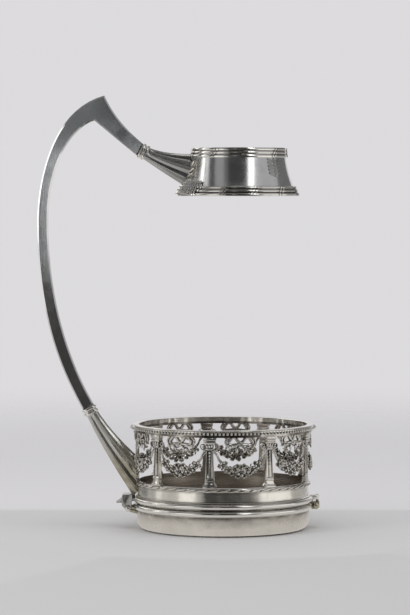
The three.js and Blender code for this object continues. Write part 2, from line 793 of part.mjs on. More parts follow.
function upperLeaf() {
  const leafTop = drumFoot + drumBeadHeight + leafRise;
  const face = -(drumBeadRadius + leafProud);
  const body = slab(outline([
    [hinge[0] - knuckleRadius, hinge[1]],
    [hinge[0] + knuckleRadius, hinge[1]],
    [hinge[0] + knuckleRadius, drumFoot],
    [-drumRadius, drumFoot],
    [-drumRadius, leafTop],
    [face + leafBevel, leafTop],
    [face, leafTop - leafBevel],
    [face, hinge[1] + knuckleRadius],
  ]), 2 * hingeHalf);
  const tip = drumFoot - tabFoot;
  const tab = slab(outline([
    [hinge[0], tip + tabSlope],
    [face, tip + tabSlope],
    [face - tabReach, tip + tabFoot],
    [face - tabReach, tip],
    [hinge[0], tip],
  ]), tabWidth);
  const gapHalf = centreKnuckle / 2 + sideClearance;
  const gapTop = hinge[1] + knuckleRadius + sideClearance;
  const centreGap = block([face - 2 * tabReach, -drumRadius], [-gapHalf, gapHalf], [0, gapTop]);
  return cut(
    join(body, tab, barrel(knuckleRadius, -hingeHalf, hingeHalf, hinge)),
    centreGap, boreThrough, drumEnvelope(solderGap),
  );
}
addPiece('hinge_leaf_upper', upperLeaf(), worn);

const cupBeadFoot = cupHeight - partingGap - cupBeadHeight;

// What the lower leaf and the catch's bracket are coped to
const cupWallTool = revolve([
  [0, 0], [cupRadius + solderGap, 0], [cupRadius + solderGap, 2 * cupHeight], [0, 2 * cupHeight],
], drumFacets);

function lowerLeaf() {
  const armTop = cupBeadFoot - solderGap;
  const arm = slab(outline([
    [hinge[0], hinge[1] - knuckleRadius],
    [cupWall - cupRadius, armTop - armThick],
    [cupWall - cupRadius, armTop],
    [hinge[0] + knuckleRadius * 0.8, armTop],
  ]), centreKnuckle);
  const knuckle = barrel(knuckleRadius, -centreKnuckle / 2, centreKnuckle / 2, hinge);
  return cut(join(arm, knuckle), boreThrough, cupWallTool);
}
addPiece('hinge_leaf_lower', lowerLeaf(), worn);

// A pin along Y with a ball or domed head at each end
function headedPin(radius, headRadius, headLength, half, centre) {
  const dome = [];
  const steps = 2;
  for (let i = 0; i <= steps; i += 1) {
    const angle = (Math.PI / 2) * (1 - i / steps);
    dome.push([headRadius * Math.sin(angle), half + headLength * Math.cos(angle)]);
  }
  const profile = [
    ...dome.map(([r, y]) => [r, -y]).reverse(),
    [radius, -half],
    [radius, half],
    ...dome,
  ].map(([r, y]) => new THREE.Vector2(Math.max(r, 0), y));
  profile[0].x = 0;
  profile[profile.length - 1].x = 0;
  return new THREE.LatheGeometry(profile, pinFacets).translate(centre[0], 0, centre[1]);
}
const hingePin = headedPin(hingePinRadius, pinBall, pinBall, hingeHalf + sideClearance, hinge);
addPiece('hinge_pin', hingePin, steel);

// Cup: spun shell with an inner bezel that enters the drum

const cupInner = cupRadius - cupWall;
const bezelOuter = drumRadius - drumWall - bezelClearance;
const bezelInner = bezelOuter - bezelWall;
const bezelFoot = cupHeight - bezelDepth;
const cupProfile = [
  [0, 0],
  ...arcPoints([cupRadius - cupCorner, cupCorner], cupCorner, -90, 0, 3),
  [cupRadius, cupHeight],
  [bezelOuter, cupHeight],
  [bezelOuter, cupHeight + bezelRise],
  [bezelInner, cupHeight + bezelRise],
  [bezelInner, bezelFoot],
  [cupInner, bezelFoot - (cupInner - bezelInner)],
  ...arcPoints([cupRadius - cupCorner, cupCorner], cupCorner - cupWall, 0, -90, 1),
  [0, cupFloor],
];
addPiece('cup_shell', revolve(cupProfile, drumFacets), satin);

const catchNotchHalf = leverWidth / 2 + sideClearance + earThick + sideClearance + catchHeadThick
  + sideClearance;
const cupBead = revolve(bulge(cupRadius, cupBeadFoot, cupBeadHeight, cupBeadProud, 5), drumFacets);
const catchNotch = block([0, 2 * cupRadius], [-catchNotchHalf, catchNotchHalf], [0, cupHeight]);
addPiece('cup_moulding', cut(cupBead, catchNotch), polished);

// Catch opposite the hinge: bracket and pin on the cup, lever, and the keeper on the drum

const catchPivot = [cupRadius + catchStandOff + catchBarrel, cupHeight - catchDrop];
const earInner = leverWidth / 2 + sideClearance;
const bracketHalf = earInner + earThick;
const catchBore = catchPinRadius + pivotClearance + catchPinRadius * (1 - Math.cos(Math.PI / pinFacets));
const catchBoreThrough = barrel(catchBore, -2 * bracketHalf, 2 * bracketHalf, catchPivot);

function catchBracket() {
  const ears = slab(outline([
    [cupRadius, catchPivot[1] - catchBarrel],
    [catchPivot[0], catchPivot[1] - catchBarrel],
    [catchPivot[0], catchPivot[1] + catchBarrel],
    [cupRadius, catchPivot[1] + catchBarrel],
  ]), 2 * bracketHalf);
  const webFace = cupRadius + solderGap + catchWeb;
  const slot = block([webFace, webFace + 4 * catchBarrel], [-earInner, earInner],
    [0, 2 * cupHeight]);
  return cut(join(ears, barrel(catchBarrel, -bracketHalf, bracketHalf, catchPivot)),
    slot, catchBoreThrough, cupWallTool);
}
addPiece('catch_bracket', catchBracket(), worn);

const catchPin = headedPin(catchPinRadius, catchHead, catchHeadThick, bracketHalf + buttGap, catchPivot);
addPiece('catch_pin', catchPin, steel);

const keeperFoot = drumFoot + drumBeadHeight - keeperHeight;
const notchFloor = catchPivot[0] - keeperClearance;
const keeperTip = drumBeadRadius + keeperReach;

function keeper() {
  const plate = new THREE.Shape();
  const centreX = keeperTip - keeperHalf;
  plate.moveTo(drumRadius, -keeperHalf);
  plate.lineTo(centreX, -keeperHalf);
  plate.absarc(centreX, 0, keeperHalf, -Math.PI / 2, Math.PI / 2);
  plate.lineTo(drumRadius, keeperHalf);
  plate.closePath();
  const lug = new THREE.ExtrudeGeometry(plate, {
    depth: keeperHeight, bevelEnabled: false, curveSegments: 8,
  }).translate(0, 0, keeperFoot);
  const notchHalf = leverWidth / 2 + keeperClearance;
  const notch = block([notchFloor, keeperTip + 1], [-notchHalf, notchHalf],
    [keeperFoot - 1, keeperFoot + keeperHeight + 1]);
  return cut(lug, notch, drumEnvelope(solderGap));
}
addPiece('catch_keeper', keeper(), polished);

function lever() {
  const noseTop = keeperFoot + noseRise;
  const noseX = catchPivot[0];
  const shape = outline([
    [noseX, catchPivot[1]],
    [noseX + catchBarrel, catchPivot[1]],
    [noseX + catchBarrel + 0.2, (catchPivot[1] + keeperFoot) / 2],
    [noseX + leverNose, keeperFoot],
    [noseX + leverNose, noseTop],
    [noseX, noseTop],
  ]);
  const knuckle = barrel(catchBarrel, -leverWidth / 2, leverWidth / 2, catchPivot);
  return cut(join(slab(shape, leverWidth), knuckle), catchBoreThrough);
}
addPiece('catch_lever', lever(), polished);

export default holder;
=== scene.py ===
# %% [markdown]
# # A silver bottle holder, dressed for its portrait
#
# The imported model gives every piece its place and size. This lesson builds the finished
# metalwork round it: turned bands, a pierced gallery of pilasters, bows and garlands, a
# handle with fluted sockets, and a flared neck collar with reeded rims.
# Everything is measured in millimetres here and scaled to metres where a piece is made.

# %% The imported model, and the boxes of its parts
import json
import math
import random

import bpy
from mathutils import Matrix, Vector

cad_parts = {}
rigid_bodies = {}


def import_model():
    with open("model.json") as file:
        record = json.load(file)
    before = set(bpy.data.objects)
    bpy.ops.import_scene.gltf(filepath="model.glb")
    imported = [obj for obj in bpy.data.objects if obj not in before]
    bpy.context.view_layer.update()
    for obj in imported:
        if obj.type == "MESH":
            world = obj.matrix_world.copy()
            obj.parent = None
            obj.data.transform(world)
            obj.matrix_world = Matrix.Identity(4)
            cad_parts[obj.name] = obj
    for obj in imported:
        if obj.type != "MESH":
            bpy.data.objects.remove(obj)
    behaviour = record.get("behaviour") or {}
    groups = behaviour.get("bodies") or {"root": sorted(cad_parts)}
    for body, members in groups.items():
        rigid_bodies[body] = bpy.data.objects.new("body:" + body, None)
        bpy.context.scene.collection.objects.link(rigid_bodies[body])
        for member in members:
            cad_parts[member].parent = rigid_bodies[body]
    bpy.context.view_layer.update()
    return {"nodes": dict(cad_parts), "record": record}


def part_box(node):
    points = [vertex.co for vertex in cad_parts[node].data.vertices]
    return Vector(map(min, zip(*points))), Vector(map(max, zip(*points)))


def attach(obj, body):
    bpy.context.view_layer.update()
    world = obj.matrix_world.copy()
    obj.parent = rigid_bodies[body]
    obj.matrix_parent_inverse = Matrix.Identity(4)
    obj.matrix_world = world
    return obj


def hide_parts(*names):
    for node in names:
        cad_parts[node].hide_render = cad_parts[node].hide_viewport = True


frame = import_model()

MM = 0.001

# %% [markdown]
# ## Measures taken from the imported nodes
#
# A turned piece needs only its radius and its two heights, and a node's box gives both.
# The boxes are read here, so that a change in the model moves the finished pieces too.

# %% Radii and heights of the drum and the rim, in millimetres


def span(node):
    """The two corners of a node's box."""
    low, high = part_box(node)
    return low / MM, high / MM


def outer(node):
    """The radius of a node that goes all round the drum's axis."""
    return span(node)[1].y


def heights(node):
    low, high = span(node)
    return low.z, high.z


DRUM_RADIUS = outer("drum_band")
DRUM_FOOT, DRUM_TOP = heights("drum_band")
DRUM_INSIDE = DRUM_RADIUS - 1.5
MOULDING_RADIUS, MOULDING_TOP = outer("band_moulding"), heights("band_moulding")[1]
BORDER_RADIUS, BORDER_FOOT = outer("ribbon_border"), heights("ribbon_border")[0]
RIM_RADIUS = outer("rim_band")
RIM_FOOT, RIM_TOP = heights("rim_band")
CUP_BEAD_FOOT, CUP_BEAD_TOP = heights("cup_moulding")
print("drum", DRUM_RADIUS, DRUM_FOOT, DRUM_TOP, "rim", RIM_RADIUS, RIM_FOOT, RIM_TOP)

# %% [markdown]
# ## The camera
#
# The photograph was taken with a long lens from a little below the collar's height, so the
# basket is seen from above and the collar from slightly below. A short lens close by would
# fill the frame as well, but it would open the rim's oval far too wide. The camera stands
# 1.61 m in front of the basket's axis and looks down by about two degrees.

# %% A long lens in front of the holder
FOCAL_PIXELS = 2801.0
PICTURE_HEIGHT = 615.0
SENSOR = 36.0
CAMERA_PLACE = Vector((-10.4, -1611.0, 194.9)) * MM
LOOK_DOWN = math.radians(2.402)
bpy.ops.object.camera_add(location=CAMERA_PLACE, rotation=(math.pi / 2 - LOOK_DOWN, 0, 0))
camera = bpy.context.object
camera.data.sensor_width = SENSOR
camera.data.lens = FOCAL_PIXELS * SENSOR / PICTURE_HEIGHT
camera.data.clip_start = 0.05
bpy.context.scene.camera = camera
print("lens", round(camera.data.lens, 1), "mm")

# %% [markdown]
# ## A recipe for materials
#
# A material is a tree of nodes. Each node could be added and joined by hand, but a dozen
# finishes with a dozen nodes each would fill pages. A small class holds one tree instead,
# and its short calls add a node, set its values and join it to what comes before.

# %% Nodes in short calls


class Recipe:
    """A material's node tree, with short calls to add nodes and join them."""

    def __init__(self, name):
        self.material = bpy.data.materials.new(name)
        self.material.use_nodes = True
        self.tree = self.material.node_tree
        self.shader = self.tree.nodes["Principled BSDF"]
        self.output = self.tree.nodes["Material Output"]

    def add(self, kind, **values):
        """A new node. A value goes to the node's setting, or else to its input."""
        node = self.tree.nodes.new(kind)
        for key, value in values.items():
            if hasattr(node, key):
                setattr(node, key, value)
            else:
                node.inputs[key.replace("_", " ")].default_value = value
        return node

    def link(self, source, target):
        self.tree.links.new(source, target)

    def coordinates(self):
        return self.add("ShaderNodeTexCoord").outputs["Object"]

    def along(self, axis):
        place = self.add("ShaderNodeSeparateXYZ")
        self.link(self.coordinates(), place.inputs["Vector"])
        return place.outputs[axis]

    def reach(self):
        """The distance from the drum's upright axis."""
        flat = self.add("ShaderNodeVectorMath", operation="MULTIPLY")
        flat.inputs[1].default_value = (1, 1, 0)
        self.link(self.coordinates(), flat.inputs[0])
        length = self.add("ShaderNodeVectorMath", operation="LENGTH")
        self.link(flat.outputs["Vector"], length.inputs[0])
        return length.outputs["Value"]

    def noise(self, stretch, detail):
        """A noise pattern that repeats faster along an axis where stretch is larger."""
        mapping = self.add("ShaderNodeMapping", Scale=stretch)
        self.link(self.coordinates(), mapping.inputs["Vector"])
        noise = self.add("ShaderNodeTexNoise", Scale=1.0, Detail=detail)
        self.link(mapping.outputs["Vector"], noise.inputs["Vector"])
        return noise.outputs["Fac"]

    def ranged(self, value, low, high, to_low=0.0, to_high=1.0, kind="LINEAR"):
        """Values from low to high are brought to the range from to_low to to_high."""
        node = self.add("ShaderNodeMapRange", interpolation_type=kind, From_Min=low,
                        From_Max=high, To_Min=to_low, To_Max=to_high)
        self.link(value, node.inputs["Value"])
        return node.outputs["Result"]

    def cloud(self, stretch, detail, low, high):
        """A noise pattern brought to the range from 0 to 1."""
        return self.ranged(self.noise(stretch, detail), low, high)

    def spread(self, factor, low, high):
        """A factor from 0 to 1 brought to the range from low to high."""
        return self.ranged(factor, 0.0, 1.0, low, high)

    def ramp(self, value, start, stop, most=1.0):
        """From nothing at start to most at stop, both in millimetres."""
        return self.ranged(value, start * MM, stop * MM, 0.0, most, "SMOOTHSTEP")

    def combined(self, operation, first, second):
        node = self.add("ShaderNodeMath", operation=operation)
        self.link(first, node.inputs[0])
        self.link(second, node.inputs[1])
        return node.outputs["Value"]

    def blend(self, factor, first, second):
        """Two colours, or a colour and another node's colour, mixed by a factor."""
        mix = self.add("ShaderNodeMix", data_type="RGBA")
        self.link(factor, mix.inputs["Factor"])
        for colour, socket in ((first, mix.inputs[6]), (second, mix.inputs[7])):
            if isinstance(colour, tuple):
                socket.default_value = (*colour, 1.0)
            else:
                self.link(colour, socket)
        return mix.outputs[2]


# %% [markdown]
# ## Silver plate
#
# Silver plate has almost no colour of its own: it shows the room. What tells one surface
# from another is how rough it is, how it was brushed, and where tarnish has stayed. Each
# finish mixes a bright tone with a duller one by a soft cloud, and adds fine scratches as
# bump. It darkens the hollows, which an ambient occlusion node finds: brown tarnish, and
# painted shade as well, since the darkening follows how enclosed a spot is, as shade does.
# Bands by height darken some finishes too, for stains and for painted shadow under a
# moulding or a wire. All of it could be painted on a picture of each piece, but patterns
# that follow the place in space need no unwrapping, and they suit any shape.

# %% The silver recipe
# Each pattern: its stretch along X, Y and Z, its detail, and the part of it that is kept
CLOUD = ((45, 45, 45), 2.0, 0.3, 0.7)
PATCH = ((110, 110, 260), 4.0, 0.3, 0.6)
SPECK = ((300, 300, 300), 4.0, 0.55, 0.8)
WEAR = ((160, 160, 160), 5.0, 0.35, 0.65)
SPECK_SHARE = 0.12
BRUSH = 60.0
BRUSH_DETAIL = 2.0
SCRATCH_DEPTH = 0.02
INNER_SIDE = (DRUM_INSIDE + 0.92, DRUM_INSIDE + 0.72)
INNER_ROUGHNESS = 0.26
OPEN, ENCLOSED = 0.97, 0.5
UMBER = (0.46, 0.41, 0.355)


def silver(name, bright, dull, tarnish_and_shade, rough, scratch, hollow=None, brushed=(60, 60, 60),
           stains_and_shade=(), inside=0.0):
    """Plate between a bright and a dull tone, with rough as (low, high).
    hollow is (distance in mm, strength) for the darker tone in recesses: patina, and painted
    shade there as well. Each height band is (start, stop, strength): a stained band in some
    finishes, painted shadow under a moulding or wire in others. inside darkens the drum's
    inner side."""
    recipe = Recipe(name)
    patch = recipe.cloud(*PATCH)
    tone = recipe.blend(recipe.cloud(*CLOUD), bright, dull)
    tone = recipe.blend(recipe.spread(recipe.cloud(*SPECK), 0.0, SPECK_SHARE), tone, tarnish_and_shade)
    roughness = recipe.spread(recipe.cloud(*WEAR), *rough)
    # Height bands: each darkens the tone towards one height. In some finishes it is a stain, in
    # others painted shadow under a moulding or a wire.
    for start, stop, strength in stains_and_shade:
        stain_and_shade = recipe.ramp(recipe.along("Z"), start, stop, strength)
        stain_and_shade = recipe.combined("MULTIPLY", stain_and_shade, recipe.spread(patch, 0.35, 1.0))
        tone = recipe.blend(stain_and_shade, tone, tarnish_and_shade)
    if inside:
        inner = recipe.ramp(recipe.reach(), *INNER_SIDE, inside)
        inner = recipe.combined("MULTIPLY", inner, recipe.spread(patch, 0.6, 1.0))
        tone = recipe.blend(inner, tone, UMBER)
        dulled = recipe.ramp(recipe.reach(), *INNER_SIDE, INNER_ROUGHNESS)
        roughness = recipe.combined("MAXIMUM", roughness, dulled)
    # Painted shade with tarnish: the hollows darken by how enclosed they are, as shade falls
    # there, and take the tarnish colour.
    if hollow:
        distance, strength = hollow
        occlusion = recipe.add("ShaderNodeAmbientOcclusion", samples=16, only_local=True,
                               Distance=distance * MM)
        shade = recipe.ranged(occlusion.outputs["AO"], OPEN, ENCLOSED, 0.0, strength)
        tone = recipe.blend(shade, tone, tarnish_and_shade)
    lines = recipe.noise(tuple(BRUSH * b for b in brushed), BRUSH_DETAIL)
    bump = recipe.add("ShaderNodeBump", Strength=scratch, Distance=SCRATCH_DEPTH * MM)
    recipe.link(lines, bump.inputs["Height"])
    recipe.shader.inputs["Metallic"].default_value = 1.0
    recipe.link(tone, recipe.shader.inputs["Base Color"])
    recipe.link(roughness, recipe.shader.inputs["Roughness"])
    recipe.link(bump.outputs["Normal"], recipe.shader.inputs["Normal"])
    return recipe.material


# %% [markdown]
# ## The finishes of this holder
#
# Old plate is not alike all over. A hand polishes the rim and the collar, dust settles in
# the cast garlands, and the hinge is hardly ever wiped. Their dark hollows and the dark
# hinge and catch are painted shade as well as dirt and tarnish. So each kind of surface gets
# its own tones, roughness, tarnish and painted shade from the one recipe.

# %% Plain, turned and stained plate, some with painted shadow
BROWN = (0.075, 0.058, 0.042)
OLIVE = (0.10, 0.088, 0.045)
STRAW = (0.30, 0.26, 0.17)
# The near-black tone below fills the hollows of worn, chased and beaded plate: soot, and painted
# shade.
SOOT_AND_SHADE = (0.035, 0.031, 0.027)
polished = silver("polished_plate", (0.86, 0.845, 0.81), (0.76, 0.74, 0.70), BROWN,
                  (0.10, 0.19), 0.25, hollow=(1.6, 0.8), brushed=(2, 2, 160))
turned_plate = silver("turned_plate", (0.84, 0.835, 0.82), (0.74, 0.735, 0.72), BROWN,
                      (0.15, 0.21), 0.6, hollow=(1.4, 0.7), brushed=(1, 1, 30))
# The band darkens towards the moulding and towards the border.
band_plate = silver("band_plate", (0.84, 0.82, 0.77), (0.74, 0.715, 0.66), BROWN,
                    (0.13, 0.22), 0.3, brushed=(2, 2, 160), inside=0.95,
                    stains_and_shade=((MOULDING_TOP + 1.6, MOULDING_TOP - 0.2, 0.7),
                            (BORDER_FOOT - 1.6, BORDER_FOOT + 0.3, 0.5)))
# Painted shadow: the rim darkens over its foot, under the beaded wire.
rim_plate = silver("rim_plate", (0.92, 0.90, 0.86), (0.80, 0.78, 0.73), BROWN,
                   (0.08, 0.14), 0.3, brushed=(2, 2, 60),
                   stains_and_shade=((RIM_FOOT + 1.7, RIM_FOOT + 1.0, 0.9),))
# Painted shadow with a brown stain: the cup's wall darkens upwards to the moulding, most of all
# just under it.
satin = silver("satin_plate", (0.81, 0.775, 0.72), (0.69, 0.655, 0.60), BROWN,
               (0.22, 0.34), 0.5, hollow=(1.2, 0.3), brushed=(3, 3, 40),
               stains_and_shade=((CUP_BEAD_FOOT - 7.0, CUP_BEAD_FOOT + 0.2, 0.5),
                       (CUP_BEAD_FOOT - 2.4, CUP_BEAD_FOOT + 0.2, 0.9)))
worn = silver("worn_plate", (0.78, 0.78, 0.775), (0.60, 0.60, 0.60), SOOT_AND_SHADE,
              (0.08, 0.14), 0.35, hollow=(1.6, 0.7), brushed=(40, 40, 3))
bright = silver("bright_plate", (0.93, 0.91, 0.87), (0.84, 0.82, 0.78), UMBER,
                (0.12, 0.2), 0.2)

# %% Plate with hollows: fluted, chased, beaded and filed
fluted = silver("fluted_plate", (0.58, 0.58, 0.57), (0.42, 0.415, 0.39), BROWN,
                (0.18, 0.28), 0.35, hollow=(1.7, 0.6), brushed=(40, 40, 3))
# The lower socket darkens downwards, towards the drum.
yellowed = silver("yellowed_plate", (0.74, 0.73, 0.69), (0.56, 0.55, 0.50), STRAW,
                  (0.2, 0.3), 0.35, hollow=(1.7, 0.75), brushed=(40, 40, 3),
                  stains_and_shade=((DRUM_TOP + 28, DRUM_TOP + 2, 0.75),))
# Painted shade with soot: the hollows of the cast garlands, bows and pilasters go almost black.
chased = silver("chased_plate", (0.84, 0.82, 0.78), (0.58, 0.55, 0.50), SOOT_AND_SHADE,
                (0.07, 0.15), 0.25, hollow=(2.4, 0.98), inside=0.85)
# Painted shade: the gaps between the beads and the line under them go almost black.
pearled = silver("pearled_plate", (0.84, 0.82, 0.78), (0.64, 0.62, 0.58), SOOT_AND_SHADE,
                 (0.08, 0.14), 0.2, hollow=(1.8, 1.0))
lobed = silver("lobed_plate", (0.94, 0.92, 0.87), (0.82, 0.79, 0.73), STRAW,
               (0.22, 0.34), 0.2, hollow=(1.6, 0.7))
leafy = silver("leafy_plate", (0.90, 0.88, 0.85), (0.76, 0.74, 0.70), BROWN,
               (0.22, 0.36), 0.3, hollow=(1.2, 0.6))
# Dark olive plate for the hinge and catch: tarnish, and painted shade of the cavity they sit in.
tarnished_and_shaded = silver("tarnished_shaded_plate", (0.62, 0.59, 0.50), (0.34, 0.31, 0.22), OLIVE,
                   (0.16, 0.3), 0.4, hollow=(1.8, 0.95))
steel = silver("pin_steel", (0.70, 0.70, 0.69), (0.52, 0.51, 0.50), BROWN,
               (0.12, 0.2), 0.2, hollow=(1.2, 0.6))

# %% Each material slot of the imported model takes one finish
SLOTS = {"polished_silver": polished, "worn_silver": worn, "chased_silver": chased,
         "satin_silver": satin, "steel": steel}
NODE_SLOT = {row["node"]: row["material_slot"] for row in frame["record"]["subparts"]}
for node, slot_name in NODE_SLOT.items():
    frame["nodes"][node].data.materials.clear()
    frame["nodes"][node].data.materials.append(SLOTS[slot_name])
print("slots:", sorted(SLOTS), "for", len(NODE_SLOT), "nodes")

# %% [markdown]
# ## Small helpers for modelling by hand
#
# Every piece starts from a primitive and is shaped in edit mode. An operator works on all
# that is selected, so each helper clears the selection first. A finished piece has its
# place in its mesh, so location, turn and scale are applied at the end.

# %% Selecting, naming and applying


def deselect():
    if bpy.context.object and bpy.context.object.mode != "OBJECT":
        bpy.ops.object.mode_set(mode="OBJECT")
    bpy.ops.object.select_all(action="DESELECT")


def pick(piece):
    deselect()
    piece.select_set(True)
    bpy.context.view_layer.objects.active = piece


def edit(piece):
    """Edit mode, with all of the piece selected."""
    pick(piece)
    bpy.ops.object.mode_set(mode="EDIT")
    bpy.ops.mesh.select_all(action="SELECT")


def named(piece, name):
    piece.name = piece.data.name = name
    return piece


def settle(piece):
    """The piece's place goes into its mesh, and its object back to the origin."""
    pick(piece)
    bpy.ops.object.transform_apply(location=True, rotation=True, scale=True)
    return piece


def placed(piece, at=(0, 0, 0), turn=(0, 0, 0), size=(1, 1, 1)):
    """The piece is scaled, turned and moved, in that order, and settled."""
    piece.location, piece.rotation_euler, piece.scale = Vector(at) * MM, turn, size
    return settle(piece)


def modified(piece, kind, **values):
    """A modifier is added with its values and applied at once."""
    pick(piece)
    bpy.ops.object.modifier_add(type=kind)
    for key, value in values.items():
        setattr(piece.modifiers[-1], key, value)
    bpy.ops.object.modifier_apply(modifier=piece.modifiers[-1].name)
    return piece


# %% Cleaning, smoothing and dressing
DOUBLES = 0.002


def clean(piece):
    """Doubles merged, and faces turned outwards."""
    edit(piece)
    bpy.ops.mesh.remove_doubles(threshold=DOUBLES * MM)
    bpy.ops.mesh.normals_make_consistent(inside=False)
    bpy.ops.object.mode_set(mode="OBJECT")
    return piece


def smooth(piece, degrees=32):
    pick(piece)
    bpy.ops.object.shade_smooth_by_angle(angle=math.radians(degrees))
    return piece


def dress(piece, body, *nodes, finish=None):
    """The piece takes its finish, rides on its body and stands for its CAD nodes."""
    slot_name = NODE_SLOT[nodes[0]]
    piece.data.materials.clear()
    piece.data.materials.append(finish or SLOTS[slot_name])
    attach(piece, body)
    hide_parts(*nodes)
    print(piece.name, len(piece.data.polygons), "faces")


# %% [markdown]
# ## The drum
#
# The drum is a plain rolled band. Its lower edge carries a half-round moulding with a fillet
# above and below, which in the workshop is drawn wire soldered on. A lathe profile is the
# natural way to model both, because the real ones are round too.

# %% Turning on a lathe


def line_through(points):
    """A new mesh with one line through points in metres, in edit mode, all selected."""
    deselect()
    bpy.ops.mesh.primitive_plane_add(size=MM)
    bpy.ops.object.mode_set(mode="EDIT")
    bpy.ops.mesh.merge(type="CENTER")
    bpy.ops.transform.translate(value=points[0])
    for here, there in zip(points, points[1:]):
        bpy.ops.mesh.extrude_region_move(
            TRANSFORM_OT_translate={"value": [b - a for a, b in zip(here, there)]})
    bpy.ops.mesh.select_all(action="SELECT")


def turned(profile, steps=176, axis_x=0.0):
    """A closed profile of (radius, height) is spun all round an upright axis."""
    line_through([(radius * MM, 0, height * MM) for radius, height in [*profile, profile[0]]])
    bpy.ops.mesh.remove_doubles(threshold=DOUBLES * MM)
    bpy.ops.mesh.spin(steps=steps, angle=2 * math.pi, center=(0, 0, 0), axis=(0, 0, 1))
    return smooth(placed(clean(bpy.context.object), at=(axis_x, 0, 0)))


# %% Plain band
EDGE = 0.25
drum_band = turned([
    (DRUM_INSIDE, DRUM_FOOT),
    (DRUM_RADIUS - EDGE, DRUM_FOOT),
    (DRUM_RADIUS, DRUM_FOOT + EDGE),
    (DRUM_RADIUS, MOULDING_TOP),
    (DRUM_RADIUS - 0.14, MOULDING_TOP + 1.9),
    (DRUM_RADIUS - 0.32, MOULDING_TOP + 3.9),
    (DRUM_RADIUS - 0.55, BORDER_FOOT + 0.2),
    (DRUM_RADIUS - 0.55, DRUM_TOP),
    (DRUM_INSIDE + 0.7, DRUM_TOP),
    (DRUM_INSIDE + 0.55, DRUM_TOP - 4.5),
    (DRUM_INSIDE, MOULDING_TOP - 1.8),
])
dress(named(drum_band, "band_turned"), "stand", "drum_band", finish=band_plate)

# %% Lower moulding
FILLET = 0.45
WALL_BITE = 0.1
SQUARENESS = 0.8


def swell(wall, foot, top, reach, steps=10):
    """A half-round moulding on a wall, from its foot to its top."""
    made = []
    for i in range(steps + 1):
        angle = math.pi * (i / steps - 0.5)
        made.append((wall + (reach - wall) * math.cos(angle) ** SQUARENESS,
                     (foot + top) / 2 + (top - foot) / 2 * math.sin(angle)))
    return made


moulding = turned([
    (DRUM_RADIUS - WALL_BITE, DRUM_FOOT),
    (DRUM_RADIUS + 1.1, DRUM_FOOT),
    (DRUM_RADIUS + 1.1, DRUM_FOOT + FILLET),
    *swell(DRUM_RADIUS + 1.3, DRUM_FOOT + FILLET, MOULDING_TOP - FILLET, MOULDING_RADIUS),
    (DRUM_RADIUS + 0.7, MOULDING_TOP - FILLET),
    (DRUM_RADIUS + 0.7, MOULDING_TOP),
    (DRUM_RADIUS - WALL_BITE, MOULDING_TOP + FILLET),
])
dress(named(moulding, "moulding_turned"), "stand", "band_moulding")

# %% [markdown]
# ## The ribbon-wound border
#
# The upper edge of the drum is bound with a rod that narrow ribbons wind round. From the
# front each turn shows as a long, slanting swell that overlaps the next. A spiral strip
# could be wound round the rod, but its hidden half would be wasted. So one swell is a
# sphere drawn out along the rod, tilted a little, and repeated all round. An array modifier
# makes the copies: each is the one before it, turned by the same step.

# %% Squeezed spheres, joining, and copies round an axis


def ball(size, at=(0, 0, 0), turn=(0, 0, 0), segments=8, rings=5):
    """A sphere squeezed to a bead, seed, petal or leaf."""
    deselect()
    bpy.ops.mesh.primitive_uv_sphere_add(segments=segments, ring_count=rings, radius=MM)
    return placed(placed(bpy.context.object, size=size), at=at, turn=turn)


def joined(pieces, name):
    deselect()
    for piece in pieces:
        piece.select_set(True)
    bpy.context.view_layer.objects.active = pieces[0]
    bpy.ops.object.join()
    return settle(named(bpy.context.object, name))


def round_copies(piece, count, axis="Z"):
    """Copies all round an axis through the origin, in one mesh."""
    step = [2 * math.pi / count if letter == axis else 0.0 for letter in "XYZ"]
    deselect()
    bpy.ops.object.empty_add(rotation=step)
    turner = bpy.context.object
    modified(piece, "ARRAY", count=count, use_relative_offset=False,
             use_object_offset=True, offset_object=turner)
    bpy.data.objects.remove(turner)


# %% Rod, one turn of ribbon, and its copies
border_rod = turned([
    (DRUM_RADIUS - 1.0, BORDER_FOOT),
    *swell(DRUM_RADIUS - 0.4, BORDER_FOOT, DRUM_TOP, BORDER_RADIUS - 0.5, 8),
    (DRUM_RADIUS - 1.0, DRUM_TOP),
])
RIBBON_TURNS = 50
RIBBON_HALF_LENGTH, RIBBON_HALF_DEPTH, RIBBON_HALF_HEIGHT = 4.2, 0.6, 0.62
RIBBON_SLANT = math.radians(-11)
ribbon = ball((1, 1, 1), turn=(0, math.pi / 2, 0), segments=10, rings=7)
placed(ribbon, size=(RIBBON_HALF_LENGTH, RIBBON_HALF_DEPTH, RIBBON_HALF_HEIGHT))
placed(ribbon, turn=(0, RIBBON_SLANT, 0))
placed(ribbon, at=(0, -(BORDER_RADIUS - RIBBON_HALF_HEIGHT), (BORDER_FOOT + DRUM_TOP) / 2 - 0.2))
round_copies(ribbon, RIBBON_TURNS)
border = joined([border_rod, ribbon], "border_wound")
dress(smooth(border, 40), "stand", "ribbon_border")

# %% [markdown]
# ## The rim of the gallery
#
# The rim is a rolled band with a rounded lip, and a wire of tiny beads is soldered round it.
# The band is turned on the lathe. Each bead is a coarse sphere, because there are a hundred
# and fifty.

# %% Rim band
GALLERY_BACK = DRUM_RADIUS - 1.2
LIP = 0.3


def arc(centre, radius, start, stop, steps):
    """Points of an arc in a profile, with its angles in degrees."""
    made = []
    for i in range(steps + 1):
        angle = math.radians(start + (stop - start) * i / steps)
        made.append((centre[0] + radius * math.cos(angle), centre[1] + radius * math.sin(angle)))
    return made


